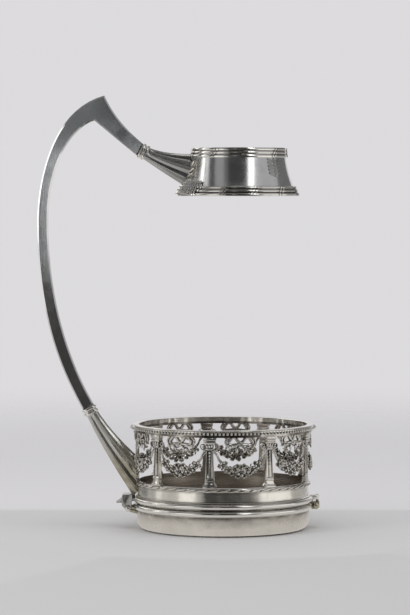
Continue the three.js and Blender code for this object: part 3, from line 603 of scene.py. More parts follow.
rim_band = turned([
    (GALLERY_BACK + 0.1, RIM_FOOT),
    (RIM_RADIUS - 0.7, RIM_FOOT),
    (RIM_RADIUS - 0.7, RIM_TOP - 0.9),
    (RIM_RADIUS - 0.5, RIM_TOP - 0.6),
    *arc((RIM_RADIUS - LIP, RIM_TOP - LIP), LIP, -60, 90, 7),
    (GALLERY_BACK + 0.6, RIM_TOP - 0.03),
    (GALLERY_BACK + 0.25, RIM_TOP - 0.12),
    (GALLERY_BACK + 0.1, RIM_TOP - 0.3),
])
dress(named(rim_band, "rim_turned"), "stand", "rim_band", finish=rim_plate)

# %% Beaded wire
BEADS = 150
BEAD = 0.76
BEAD_REACH = outer("bead_wire")
BEAD_HEIGHT = sum(heights("bead_wire")) / 2
bead = ball((BEAD, BEAD, BEAD), at=(0, -(BEAD_REACH - BEAD), BEAD_HEIGHT), segments=10, rings=7)
round_copies(bead, BEADS)
wire = turned([
    (RIM_RADIUS - 0.8, BEAD_HEIGHT - 0.6),
    (RIM_RADIUS + 0.05, BEAD_HEIGHT - 0.6),
    (RIM_RADIUS + 0.05, BEAD_HEIGHT + 0.5),
    (RIM_RADIUS - 0.8, BEAD_HEIGHT + 0.5),
])
dress(smooth(joined([wire, bead], "beaded_wire"), 50), "stand", "bead_wire", finish=pearled)

# %% [markdown]
# ## The pilasters
#
# Nine small columns carry the rim. A column is a rectangle drawn upwards and scaled at each
# change of its outline: plinth, flared base, shaft, necking and capital. Blocks could be
# stacked instead, but a column in one piece has no seams. A panel is sunk in the shaft, and
# a raised rib divides it into two flutes.

# %% Drawing out a column, and sinking a panel
PANEL_BEVEL = 0.12


def drawn_up(name, stations):
    """A rectangle is extruded upwards through stations of (height, half width, depth)."""
    height, half, depth = stations[0]
    deselect()
    bpy.ops.mesh.primitive_plane_add(size=1)
    piece = placed(bpy.context.object, at=(0, -depth / 2, height),
                   size=(2 * half * MM, depth * MM, 1))
    edit(piece)
    for next_height, next_half, next_depth in stations[1:]:
        bpy.ops.mesh.extrude_region_move(
            TRANSFORM_OT_translate={"value": (0, 0, (next_height - height) * MM)})
        bpy.ops.transform.resize(
            value=(next_half / half, next_depth / depth, 1),
            center_override=(0, 0, next_height * MM))
        height, half, depth = next_height, next_half, next_depth
    bpy.ops.object.mode_set(mode="OBJECT")
    return named(piece, name)


def select_only(piece, chosen, kind="VERT"):
    """In edit mode, the points or faces for which chosen is true are all that is selected."""
    pick(piece)
    bpy.ops.object.mode_set(mode="EDIT")
    bpy.ops.mesh.select_mode(type=kind)
    bpy.ops.mesh.select_all(action="DESELECT")
    bpy.ops.object.mode_set(mode="OBJECT")
    for part in piece.data.polygons if kind == "FACE" else piece.data.vertices:
        part.select = chosen(part)
    bpy.ops.object.mode_set(mode="EDIT")


def sink(piece, chosen, margin, depth):
    """Chosen faces are inset and pushed in along their normals."""
    select_only(piece, chosen, "FACE")
    bpy.ops.mesh.inset(thickness=margin * MM, depth=0)
    bpy.ops.mesh.inset(thickness=PANEL_BEVEL * MM, depth=-depth * MM)
    bpy.ops.mesh.select_mode(type="VERT")
    bpy.ops.object.mode_set(mode="OBJECT")


# %% The column and its sunk shaft
SHAFT_FOOT, SHAFT_TOP = DRUM_TOP + 5.0, RIM_FOOT - 6.8
column = clean(drawn_up("column", [
    (DRUM_TOP, 3.7, 2.6),
    (DRUM_TOP + 0.9, 3.7, 2.6),
    (DRUM_TOP + 1.0, 3.2, 2.4),
    (DRUM_TOP + 2.4, 2.6, 2.25),
    (DRUM_TOP + 3.8, 2.15, 2.1),
    (DRUM_TOP + 3.9, 2.7, 2.35),
    (DRUM_TOP + 4.5, 2.7, 2.35),
    (SHAFT_FOOT, 2.5, 2.1),
    (SHAFT_TOP, 1.8, 1.9),
    (SHAFT_TOP + 0.15, 2.2, 2.2),
    (SHAFT_TOP + 0.6, 2.2, 2.2),
    (SHAFT_TOP + 0.75, 1.9, 2.0),
    (RIM_FOOT - 3.9, 2.5, 2.4),
    (RIM_FOOT - 3.3, 3.4, 2.9),
    (RIM_FOOT - 2.6, 3.6, 3.0),
    (RIM_FOOT - 2.4, 3.2, 2.8),
    (RIM_FOOT - 1.5, 3.3, 2.85),
    (RIM_FOOT - 1.3, 3.7, 3.2),
    (RIM_FOOT, 3.7, 3.2),
]))


def on_shaft_front(face):
    return face.normal.y < -0.9 and SHAFT_FOOT * MM < face.center.z < SHAFT_TOP * MM


sink(column, on_shaft_front, margin=0.42, depth=0.5)
modified(column, "BEVEL", width=0.12 * MM, segments=2, limit_method="ANGLE",
         angle_limit=math.radians(25))
print("column:", len(column.data.polygons), "faces")

# %% The rib between the flutes, and the husks that hang on it
HUSKS = 5
HUSK_STEP = 1.75
RIB_FOOT, RIB_TOP = SHAFT_FOOT + 0.6, SHAFT_TOP - 0.8
rib = drawn_up("rib", [
    (RIB_FOOT, 0.6, 1.8),
    ((RIB_FOOT + RIB_TOP) / 2, 0.5, 1.75),
    (RIB_TOP, 0.4, 1.7),
])
modified(rib, "BEVEL", width=0.3 * MM, segments=3, limit_method="ANGLE")
husks = []
for i in range(HUSKS):
    scale = 1.0 - 0.1 * i
    husks.append(ball((0.62 * scale, 0.5, 0.85 * scale),
                      at=(0, -1.75, RIB_TOP - 0.9 - HUSK_STEP * i), segments=10, rings=6))
column = joined([column, rib, *husks], "column")
print("with rib and husks:", len(column.data.polygons), "faces")

# %% [markdown]
# ## Scrolls and leaves of a pilaster
#
# A scroll curls out at each side of the capital and of the base. It could be bent out of a
# block, but a Bezier curve through a few points, with a depth and a rounded edge, gives the
# carved line with less work. One side is modelled, and the other is its mirror.

# %% Curves with a rounded section, copies and mirrors


def bezier(points, closed=False, resolution=6):
    """A curve through points in millimetres, with handles that keep it smooth."""
    deselect()
    bpy.ops.curve.primitive_bezier_curve_add()
    curve = bpy.context.object
    curve.data.dimensions = "3D"
    curve.data.resolution_u = resolution
    curve.data.bevel_resolution = 2
    curve.data.use_fill_caps = True
    spline = curve.data.splines[0]
    spline.bezier_points.add(len(points) - 2)
    spline.use_cyclic_u = closed
    for point, place in zip(spline.bezier_points, points):
        point.co = [value * MM for value in place]
        point.handle_left_type = point.handle_right_type = "AUTO"
    return curve


def traced(name, points, closed, depth, thick, resolution=6):
    """Points (x, z) become a rounded band that faces the front."""
    curve = bezier([(x, z, 0) for x, z in points], closed, resolution)
    curve.data.extrude = (depth - thick) / 2 * MM
    curve.data.bevel_depth = thick / 2 * MM
    bpy.ops.object.convert(target="MESH")
    return clean(placed(named(bpy.context.object, name), turn=(math.pi / 2, 0, 0)))


def copy_of(piece):
    pick(piece)
    bpy.ops.object.duplicate(linked=False)
    return bpy.context.object


def mirrored(piece):
    return clean(placed(copy_of(piece), size=(-1, 1, 1)))


# %% Scrolls at its head and foot, and leaves on its capital
SCROLL_PATHS = [
    [(1.7, RIM_FOOT - 7.8), (2.9, RIM_FOOT - 7.1), (4.6, RIM_FOOT - 6.4), (5.3, RIM_FOOT - 5.0),
     (4.5, RIM_FOOT - 3.9), (3.4, RIM_FOOT - 4.4), (3.4, RIM_FOOT - 5.4), (4.3, RIM_FOOT - 5.2)],
    [(2.2, DRUM_TOP + 3.9), (2.5, DRUM_TOP + 2.9), (3.0, DRUM_TOP + 1.9), (3.8, DRUM_TOP + 1.0)],
]
scrolls = [traced("scroll", path, False, 1.6, 0.6, resolution=4) for path in SCROLL_PATHS]
scroll = placed(joined(scrolls, "scroll"), at=(0, -1.2, 0))
capital_leaves = [
    ball((0.95 * size, 0.55 * size, 1.9 * size), at=(x, -2.35, RIM_FOOT - 4.6),
         turn=(0.25, math.radians(lean), 0), segments=8, rings=6)
    for x, size, lean in ((-1.5, 0.62, -20), (0.0, 0.75, 0), (1.5, 0.62, 20))
]
column = joined([column, scroll, mirrored(scroll), *capital_leaves], "column")
smooth(placed(column, at=(0, -GALLERY_BACK, 0)), 38)
print("one pilaster:", len(column.data.polygons), "faces")

# %% Nine places round the drum
PILASTERS = 9
BAY = 2 * math.pi / PILASTERS
FIRST_PILASTER = math.radians(-90 + 1)


def repeat_round(pattern, name, node, share):
    """A copy of the pattern stands in each bay, at a share of the bay's width."""
    for i in range(PILASTERS):
        copy = named(copy_of(pattern), f"{name}_{i + 1}")
        placed(copy, turn=(0, 0, FIRST_PILASTER + BAY * (i + share)))
        dress(copy, "stand", f"{node}_{i + 1}")
    bpy.data.objects.remove(pattern)


repeat_round(column, "pilaster_cast", "pilaster", 0)

# %% [markdown]
# ## The bows
#
# In each bay a ribbon is tied in a bow under the rim. A ribbon is a band of even width, so
# an ear is a curve in the shape of the loop with a rounded section. The ear is modelled
# once and mirrored, and a ring knot and leaf-shaped tails are added. The flat bow is then
# bent to the drum's radius.

# %% One half of the bow
KNOT = RIM_FOOT - 3.8
ear = traced("ear", [
    (0.6, KNOT + 0.4), (1.8, RIM_FOOT - 1.6), (3.2, RIM_FOOT + 0.2), (4.5, RIM_FOOT + 0.2),
    (5.9, RIM_FOOT - 1.3), (6.8, RIM_FOOT - 3.0), (5.7, RIM_FOOT - 4.1), (3.0, RIM_FOOT - 4.0),
], True, 2.1, 1.85)
tail = traced("tail", [
    (0.5, KNOT - 0.4), (2.0, KNOT - 2.1), (3.6, KNOT - 2.3), (5.0, KNOT - 3.8), (6.8, KNOT - 3.5),
], False, 1.6, 1.2)
tail_leaves = [
    ball((0.8, 0.45, 1.6), at=(x, -1.0, KNOT - drop), turn=(0.2, math.radians(lean), 0),
         segments=8, rings=7)
    for x, drop, lean in ((2.3, 3.4, 20), (4.4, 1.2, 78), (6.9, 1.6, 25), (5.4, 4.9, 125))
]
flutter = traced("flutter", [
    (6.9, RIM_FOOT - 0.2), (8.1, RIM_FOOT - 1.3), (8.5, RIM_FOOT - 2.9), (7.7, RIM_FOOT - 4.2),
    (8.1, RIM_FOOT - 5.9),
], False, 1.6, 1.3)
half_bow = joined([ear, tail, flutter, *tail_leaves], "half_bow")
print("half a bow:", len(half_bow.data.polygons), "faces")

# %% The whole bow, bent and repeated


def hoop(radius, thick, at, around, across):
    """A torus that faces the front."""
    deselect()
    bpy.ops.mesh.primitive_torus_add(major_segments=around, minor_segments=across,
                                     major_radius=radius * MM, minor_radius=thick * MM)
    return placed(bpy.context.object, at=at, turn=(math.pi / 2, 0, 0))


def bend_round(piece, radius):
    """A flat piece that faces the front is bent round the upright axis."""
    modified(piece, "SIMPLE_DEFORM", deform_method="BEND", deform_axis="Z",
             angle=piece.dimensions.x / (radius * MM))
    return placed(piece, at=(0, -radius, 0))


other_half = mirrored(half_bow)
knot = hoop(1.0, 0.55, (0, -0.75, KNOT), 20, 8)
seed = ball((0.5, 0.5, 0.5), at=(0, -0.9, KNOT))
bow = joined([half_bow, other_half, knot, seed], "bow")
smooth(bend_round(bow, GALLERY_BACK + 1.3), 50)
repeat_round(bow, "bow_tied", "bow", 0.5)

# %% [markdown]
# ## The garlands
#
# A garland hangs in every bay: five-petalled blossoms and leaves crowded on a stem, which
# two thin rods carry from the sides of the pilasters. A blossom is modelled once from
# squeezed spheres with few faces, because there will be nearly two hundred. The stem is a
# curve whose thickness changes from point to point.

# %% A blossom


def blossom():
    """Five round petals, a seed in their middle, and the hollow back that casting leaves."""
    petal = ball((0.44, 0.26, 0.42), at=(0, -0.1, 0.58), turn=(0.45, 0, 0))
    round_copies(petal, 5, "Y")
    heart = ball((0.2, 0.22, 0.2), at=(0, -0.14, 0), segments=6, rings=4)
    back_ring = hoop(0.62, 0.18, (0, 0.22, 0), 12, 5)
    back = ball((0.66, 0.12, 0.66), at=(0, 0.08, 0), segments=10, rings=4)
    return joined([petal, heart, back_ring, back], "blossom")


pattern_blossom = blossom()
print("blossom", len(pattern_blossom.data.polygons), "faces")

# %% A leaf
# Each row: height along the leaf, and the share of the full width there
LEAF_OUTLINE = ((-0.5, 0.12), (-0.25, 0.8), (0.0, 1.0), (0.25, 0.7), (0.5, 0.05))
LEAF_WIDTH = 0.55
MIDRIB = 0.12


def leaf():
    """A pointed leaf with a raised midrib, one millimetre long, that points upwards."""
    deselect()
    bpy.ops.mesh.primitive_grid_add(x_subdivisions=2, y_subdivisions=4, size=MM)
    piece = placed(bpy.context.object, turn=(math.pi / 2, 0, 0), size=(LEAF_WIDTH, 1, 1))
    for level, width in LEAF_OUTLINE:
        select_only(piece, lambda point: abs(point.co.z / MM - level) < 0.1)
        bpy.ops.transform.resize(value=(width, 1, 1), center_override=(0, 0, level * MM))
    bpy.ops.object.mode_set(mode="OBJECT")
    select_only(piece, lambda point: abs(point.co.x) < 0.02 * MM)
    bpy.ops.transform.translate(value=(0, -MIDRIB * MM, 0))
    bpy.ops.object.mode_set(mode="OBJECT")
    return named(modified(piece, "SOLIDIFY", thickness=0.14 * MM, offset=-1.0), "leaf")


pattern_leaf = leaf()
print("leaf", len(pattern_leaf.data.polygons), "faces")

# %% Where things hang in a bay
SWAG_FLOOR = RIM_FOOT - 18.5
SWAG_SAG = 3.9
SWAG_HALF = 11.4
SWAG_END = GALLERY_BACK * BAY / 2 - 1.9


def swag_height(x):
    return SWAG_FLOOR + SWAG_SAG * (min(abs(x), SWAG_HALF) / SWAG_HALF) ** 2


def on_round(piece, radius, z, turn, spin=0.0, lean=0.0, yaw=0.0, size=1.0):
    """A piece modelled at the origin is set on a round wall, turned from the front."""
    placed(piece, size=(size, size, size), turn=(0, spin, 0))
    placed(piece, turn=(lean, 0, yaw))
    placed(piece, at=(0, -radius, z))
    return placed(piece, turn=(0, 0, turn))


def on_gallery(piece, x, z, proud, **turns):
    return on_round(piece, GALLERY_BACK + proud, z, x / GALLERY_BACK, **turns)


print("a swag hangs from", round(SWAG_FLOOR + SWAG_SAG, 1), "down to", round(SWAG_FLOOR, 1))

# %% The stem, and the rods that carry it


def stem(name, stations, thick):
    """A round stem through (x, z, proud, radius) in a bay, as one smooth curve."""
    places = []
    for x, z, proud, radius in stations:
        angle, reach = x / GALLERY_BACK, GALLERY_BACK + proud
        places.append((reach * math.sin(angle), -reach * math.cos(angle), z))
    curve = bezier(places, resolution=4)
    for point, station in zip(curve.data.splines[0].bezier_points, stations):
        point.radius = station[3]
    curve.data.bevel_depth = thick * MM
    bpy.ops.object.convert(target="MESH")
    return clean(settle(named(bpy.context.object, name)))


def hung_stems():
    """The core, which the blossoms hide, and two rods on each side."""
    core_stations = [(x, swag_height(x), 1.8, 0.75 - 0.3 * (x / SWAG_HALF) ** 2)
                     for x in (-11.4, -8.5, -5.5, -2.7, 0, 2.7, 5.5, 8.5, 11.4)]
    made = [stem("core", core_stations, 1.0)]
    for side in (-1, 1):
        for gap in (-0.55, 0.75):
            foot = swag_height(SWAG_HALF) + gap
            made.append(stem("rod", [
                (side * (SWAG_HALF - 1.6), foot, 1.5, 1),
                (side * (SWAG_HALF + 0.4), foot + 2.2, 1.5, 1),
                (side * (SWAG_HALF + 1.6), foot + 5.0, 1.3, 1),
                (side * SWAG_END, foot + 7.2, 1.1, 1),
            ], 0.42))
    return made


# %% One garland, and its nine copies
# Each blossom: its place across the bay, how far it sits above the stem, and its radius
BLOSSOMS = [
    (0.0, -0.9, 2.75), (-3.3, 0.5, 2.5), (3.3, 0.4, 2.5), (-6.4, -0.7, 2.45), (6.4, -0.6, 2.45),
    (-9.6, 0.3, 2.5), (9.6, 0.2, 2.5), (-1.7, 2.4, 1.7), (1.8, 2.4, 1.7), (-4.9, -2.3, 1.6),
    (4.9, -2.2, 1.6), (-8.2, 2.1, 1.5), (8.2, 2.0, 1.5), (-11.4, -1.3, 1.5), (11.4, -1.3, 1.5),
    (-1.8, -3.1, 1.7), (1.9, -3.0, 1.7), (-8.0, -2.0, 1.6), (8.0, -1.9, 1.6), (0.0, 2.3, 1.5),
]
LEAVES = 10
random.seed(7)
garland_parts = hung_stems()
for x, lift, radius in BLOSSOMS:
    garland_parts.append(on_gallery(
        copy_of(pattern_blossom), x, swag_height(x) + lift, 2.05 if radius > 2 else 1.8,
        spin=random.uniform(0, 1.25), lean=random.uniform(-0.25, 0.2),
        yaw=random.uniform(-0.25, 0.25), size=radius))
for i in range(LEAVES):
    x = -SWAG_HALF + 2 * SWAG_HALF * (i + 0.5) / LEAVES
    above = 1 if i % 2 else -1
    garland_parts.append(on_gallery(
        copy_of(pattern_leaf), x, swag_height(x) + above * random.uniform(1.9, 2.6), 1.6,
        spin=above * random.uniform(0.1, 0.9) + (0 if above > 0 else math.pi),
        lean=random.uniform(-0.3, 0.3), yaw=random.uniform(-0.3, 0.3),
        size=random.uniform(1.6, 2.1)))
garland = smooth(joined(garland_parts, "garland"), 60)
bpy.data.objects.remove(pattern_blossom)
repeat_round(garland, "swag_hung", "swag", 0.5)

# %% [markdown]
# ## The neck collar
#
# The collar is a flared tube, wider below. Its wall follows one smooth curve, which the
# lathe turns. Both ends are bound with three reeds, and ribbons cross the reeds in pairs.
# A ribbon could be bent over the reeds point by point, but a shrinkwrap modifier presses a
# flat strip on them at once.

# %% The collar's wall
NECK_X = (span("neck_collar")[0].x + span("neck_collar")[1].x) / 2
NECK_FOOT, NECK_TOP = heights("collar_foot_rim")[0], heights("collar_top_rim")[1]
NECK_WALL = 1.1
NECK_EDGE = 0.5
NECK_STEPS = 160
# The curve of the wall: its two ends, and between them the point that pulls it
NECK_CURVE = ((26.6, NECK_TOP - NECK_EDGE), (27.6, NECK_FOOT + (NECK_TOP - NECK_FOOT) * 0.44),
              (34.2, NECK_FOOT + NECK_EDGE))


def neck_curve(steps, shift=0.0):
    """The wall's profile from its top edge down, moved out by shift."""
    (r0, z0), (r1, z1), (r2, z2) = NECK_CURVE
    made = []
    for i in range(steps + 1):
        t = i / steps
        made.append(((1 - t) ** 2 * r0 + 2 * t * (1 - t) * r1 + t * t * r2 + shift,
                     (1 - t) ** 2 * z0 + 2 * t * (1 - t) * z1 + t * t * z2))
    return made


def neck_radius(height):
    return min(neck_curve(60), key=lambda point: abs(point[1] - height))[0]


collar = turned([*neck_curve(28, -NECK_WALL), *reversed(neck_curve(28))],
                steps=NECK_STEPS, axis_x=NECK_X)
dress(named(collar, "collar_turned"), "stand", "neck_collar", finish=turned_plate)
print("collar axis", round(NECK_X, 2), "from", NECK_FOOT, "to", NECK_TOP)

# %% Reeds, and the ribbons that cross them
REEDS = 3
RIM_HEIGHT = 5.8
TIE_HEIGHT, TIE_WIDTH = 4.5, 1.1
TIE_SLANT = math.radians(40)


def reeded(inner, edge, reed):
    """Three half-round reeds from the inner height to the end of the wall."""
    pitch = (edge - inner) / REEDS
    face = []
    for i in range(REEDS):
        start = inner + pitch * i
        base = neck_radius(start + pitch / 2) + reed * 0.2
        for k in range(7):
            angle = math.pi * (k / 6 - 0.5)
            face.append((base + reed * (0.3 + 0.45 * math.cos(angle)),
                         start + pitch * (0.5 + 0.47 * math.sin(angle))))
    last = neck_radius(edge)
    lip = [(last + reed * 0.1, edge), (last - NECK_WALL, edge),
           (last - NECK_WALL, edge - math.copysign(NECK_EDGE, pitch))]
    back = [(last - 0.3, edge - math.copysign(0.6, pitch)), (neck_radius(inner) - 0.3, inner)]
    return turned([*face, *lip, *back], steps=NECK_STEPS)


def tied(rim, name, middle, reach, count, phase):
    """Pairs of slanting ribbons are wrapped over the reeds, all round."""
    deselect()
    bpy.ops.mesh.primitive_grid_add(x_subdivisions=4, y_subdivisions=16, size=1)
    strip = placed(bpy.context.object,
                   size=(TIE_WIDTH * MM, TIE_HEIGHT / math.cos(TIE_SLANT) * MM, 1))
    placed(strip, turn=(math.pi / 2, TIE_SLANT, 0))
    second = copy_of(strip)
    placed(strip, at=(-1.0, -reach - 2, middle))
    placed(second, at=(1.0, -reach - 2, middle))
    pair = joined([strip, second], "pair")
    modified(pair, "SHRINKWRAP", target=rim, wrap_method="PROJECT", use_project_y=True,
             use_negative_direction=False, use_positive_direction=True, offset=0.08 * MM)
    modified(pair, "SOLIDIFY", thickness=0.6 * MM, offset=0.0)
    placed(pair, turn=(0, 0, phase))
    round_copies(pair, count)
    whole = joined([rim, pair], name)
    return smooth(placed(whole, at=(NECK_X, 0, 0)), 40)


# %% Both rims of the collar
# Each row: which rim, its outer edge, the way to its inner edge, how far a reed stands out,
# the radius that the ribbons are laid from, how many pairs, and the turn of the first
RIMS = (("top", NECK_TOP, -1, 0.95, 28, 9, 8.5), ("foot", NECK_FOOT, 1, 1.3, 36, 12, 15))
for end, edge, way, reed, reach, pairs, phase in RIMS:
    rim = reeded(edge + way * RIM_HEIGHT, edge, reed)
    rim = tied(rim, f"{end}_rim_tied", edge + way * RIM_HEIGHT / 2, reach, pairs,
               math.radians(phase))
    dress(rim, "stand", f"collar_{end}_rim")

# %% [markdown]
# ## The handle
#
# The handle is a flat-sided bar cut to one outline, so it is drawn as a flat curve with a
# filled face, a depth and a small chamfer. A ferrule with two beads sits at each end.
# Each ferrule meets a fluted socket that flares until it reaches the wall, so the places
# of the ferrules come first.

# %% Places of the ferrules
SEAT_WALL = NECK_X - neck_radius(NECK_FOOT + 14.8)
LOWER = {"centre": (-76.4, 68.1), "tilt": math.radians(61), "half": 3.45}
UPPER = {"centre": (SEAT_WALL - 26.0, NECK_FOOT + 25.4), "tilt": math.radians(29), "half": 3.75}
FERRULE = 4.4
BAR_DEPTH = 8.4
BUTT = 0.05
BUTT_END = FERRULE / 2 + BUTT


def from_ferrule(ferrule, along, across):
    """A point along the ferrule's axis towards its socket, and across it."""
    (x, z), tilt = ferrule["centre"], ferrule["tilt"]
    return (x + along * math.cos(tilt) + across * math.sin(tilt),
            z - along * math.sin(tilt) + across * math.cos(tilt))


print("lower ferrule", LOWER["centre"], "upper", [round(v, 1) for v in UPPER["centre"]])

# %% The bar's outline
HANDLE_LOW, HANDLE_HIGH = span("handle_bar")
WAIST = NECK_FOOT - 14.4
OUTER_X = HANDLE_LOW.x
INNER_X = OUTER_X + 6.1
PEAK = (OUTER_X + 38.6, HANDLE_HIGH.z)
CORNER = (PEAK[0] - 5.7, PEAK[1] - 14.4)
PEAK_INSET = 38.6


def on_line(start, stop, share):
    return tuple(a + (b - a) * share for a, b in zip(start, stop))


def straight(start, stop):
    return start, on_line(start, stop, 1 / 3), on_line(start, stop, 2 / 3)


def handle_segments():
    """Each side of the outline: its start, and the two points that pull it."""
    lower_outer = from_ferrule(LOWER, -BUTT_END, -LOWER["half"])
    lower_inner = from_ferrule(LOWER, -BUTT_END, LOWER["half"])
    upper_outer = from_ferrule(UPPER, -BUTT_END, UPPER["half"])
    upper_inner = from_ferrule(UPPER, -BUTT_END, -UPPER["half"])
    low_run, high_run = WAIST - lower_outer[1], PEAK[1] - WAIST
    pull = (PEAK[0] + PEAK_INSET * 0.166, PEAK[1] - high_run * 0.207)

    def up_from(point, share):
        """On from a lower corner, in the ferrule's direction."""
        return (point[0] - math.cos(LOWER["tilt"]) * low_run * share,
                point[1] + math.sin(LOWER["tilt"]) * low_run * share)

    return [
        (lower_outer, up_from(lower_outer, 0.28), (OUTER_X, WAIST - low_run * 0.48)),
        ((OUTER_X, WAIST), (OUTER_X, WAIST + high_run * 0.26),
         (PEAK[0] - PEAK_INSET * 0.84, PEAK[1] - high_run * 0.12)),
        (PEAK, on_line(PEAK, pull, 2 / 3), on_line(upper_outer, pull, 2 / 3)),
        straight(upper_outer, upper_inner),
        straight(upper_inner, CORNER),
        (CORNER, (CORNER[0] - PEAK_INSET * 0.11, CORNER[1] - high_run * 0.006),
         (INNER_X, WAIST + high_run * 0.62)),
        ((INNER_X, WAIST), (INNER_X, WAIST - low_run * 0.55), up_from(lower_inner, 0.1)),
        straight(lower_inner, lower_outer),
    ]


# %% The bar
BAR_EDGE = 0.8
segments = handle_segments()
deselect()
bpy.ops.curve.primitive_bezier_curve_add()
outline = bpy.context.object
outline.data.dimensions = "2D"
outline.data.fill_mode = "BOTH"
outline.data.resolution_u = 20
outline.data.extrude = (BAR_DEPTH / 2 - BAR_EDGE) * MM
outline.data.bevel_depth = BAR_EDGE * MM
outline.data.bevel_resolution = 0
outline.data.offset = -BAR_EDGE * MM
spline = outline.data.splines[0]
spline.bezier_points.add(len(segments) - 2)
spline.use_cyclic_u = True
for i, (start, leave, arrive) in enumerate(segments):
    point, following = spline.bezier_points[i], spline.bezier_points[(i + 1) % len(segments)]
    point.handle_left_type = point.handle_right_type = "FREE"
    following.handle_left_type = following.handle_right_type = "FREE"
    point.co = (start[0] * MM, start[1] * MM, 0)
    point.handle_right = (leave[0] * MM, leave[1] * MM, 0)
    following.handle_left = (arrive[0] * MM, arrive[1] * MM, 0)
bpy.ops.object.convert(target="MESH")
bar = clean(placed(named(bpy.context.object, "bar_cut"), turn=(math.pi / 2, 0, 0)))
dress(smooth(bar, 25), "stand", "handle_bar")

# %% [markdown]
# ## Ferrules
#
# A ferrule is a short sleeve with two round beads, soldered over the end of the bar. Its
# section is a rectangle with rounded corners. One face is carried along the sleeve's axis,
# and extruded and scaled at each station, which also suits the sockets that follow.

# %% A section carried along bent stations


def carry(stations, first_shape=None):
    """The selected face goes from station to station: (x, z), tilt, half width, half depth.
    first_shape may give the first new section its relief, which the others then keep."""
    (x, z), tilt, wide, deep = stations[0]
    bpy.ops.transform.resize(value=(1, deep, wide), center_override=(0, 0, 0))
    bpy.ops.transform.rotate(value=-tilt, orient_axis="Y", center_override=(0, 0, 0))
    bpy.ops.transform.translate(value=(x * MM, 0, z * MM))
    for (x1, z1), tilt1, wide1, deep1 in stations[1:]:
        here = (x * MM, 0, z * MM)
        bpy.ops.mesh.extrude_region_move(TRANSFORM_OT_translate={"value": (0, 0, 0)})
        bpy.ops.transform.rotate(value=tilt, orient_axis="Y", center_override=here)
        bpy.ops.transform.resize(value=(1, deep1 / deep, wide1 / wide), center_override=here)
        if first_shape:
            first_shape(here)
            first_shape = None
        bpy.ops.transform.rotate(value=-tilt1, orient_axis="Y", center_override=here)
        bpy.ops.transform.translate(value=((x1 - x) * MM, 0, (z1 - z) * MM))
        x, z, tilt, wide, deep = x1, z1, tilt1, wide1, deep1


# %% Both ferrules
SLEEVE_CORNER = 0.62
BEAD_RELIEF = 0.9
# Each row: the place along half the sleeve's length, and the share of the beads' relief
SLEEVE = [(-1, 0.1), (-0.95, 0.6), (-0.82, 0.9), (-0.55, 1.0), (-0.28, 0.9), (-0.12, 0.6),
          (-0.06, 0.1), (0.06, 0.1), (0.12, 0.6), (0.28, 0.9), (0.55, 1.0), (0.82, 0.9),
          (0.95, 0.6), (1, 0.1)]
for name, ferrule in (("lower_ferrule", LOWER), ("upper_ferrule", UPPER)):
    deselect()
    bpy.ops.mesh.primitive_plane_add(size=2 * MM)
    sleeve = named(placed(bpy.context.object, turn=(0, math.pi / 2, 0)), name + "_beads")
    edit(sleeve)
    bpy.ops.mesh.bevel(offset=SLEEVE_CORNER * MM, segments=6, affect="VERTICES")
    carry([(from_ferrule(ferrule, along * FERRULE / 2, 0), ferrule["tilt"],
            ferrule["half"] + BEAD_RELIEF * share, BAR_DEPTH / 2 + BEAD_RELIEF * share)
           for along, share in SLEEVE])
    bpy.ops.object.mode_set(mode="OBJECT")
    dress(smooth(clean(sleeve), 40), "stand", name, finish=bright)

# %% [markdown]
# ## Fluted sockets
#
# A socket takes the ferrule's section to the wall and grows wider on its way. Twelve flutes
# run along it. A round section with six points to a flute is carried along a smooth curve,
# and some of its points are drawn in at the start, so that every later station keeps the
# flutes. It runs on past the wall, and what would lie inside the drum or the collar is cut
# away with a turned body.

# %% The way of a socket
FLUTES = 12
PER_FLUTE = 6
FLUTE_DEPTH = 0.13
# Which points of a flute are drawn in, and the share of the depth
FLUTE_SHAPE = {3: 1.0, 2: 0.75, 4: 0.75, 1: 0.3, 5: 0.3}
SOCKET_SHARES = (0, 0.03, 0.1, 0.2, 0.3, 0.4, 0.5, 0.6, 0.7, 0.8, 0.9, 1.0)


def between(ends, t):
    """A point of a cubic curve, and its slope, by its four pulling points."""
    u = 1 - t
    place = tuple(u ** 3 * a + 3 * u * u * t * b + 3 * u * t * t * c + t ** 3 * d
                  for a, b, c, d in zip(*ends))
    slope = tuple(3 * u * u * (b - a) + 6 * u * t * (c - b) + 3 * t * t * (d - c)
                  for a, b, c, d in zip(*ends))
    return place, slope


def socket_stations(ferrule, seat, seat_tilt, flare, inside):
    """From the ferrule to its seat on the wall, and on past it by the length inside.
    flare is the half width and half depth at the end."""
    start = from_ferrule(ferrule, BUTT_END, 0)
    end = (seat[0] + inside * math.cos(seat_tilt), seat[1] - inside * math.sin(seat_tilt))
    pull = math.dist(start, end) / 3
    tilt = ferrule["tilt"]
    ends = (start, (start[0] + pull * math.cos(tilt), start[1] - pull * math.sin(tilt)),
            (end[0] - pull * math.cos(seat_tilt), end[1] + pull * math.sin(seat_tilt)), end)
    wide, deep = ferrule["half"], BAR_DEPTH / 2
    stations = []
    for t in SOCKET_SHARES:
        place, slope = between(ends, t)
        grow = t ** 1.3
        stations.append((place, -math.atan2(slope[1], slope[0]),
                         wide + (flare[0] - wide) * grow, deep + (flare[1] - deep) * grow))
    return stations


# %% Flutes, and the cut at the wall


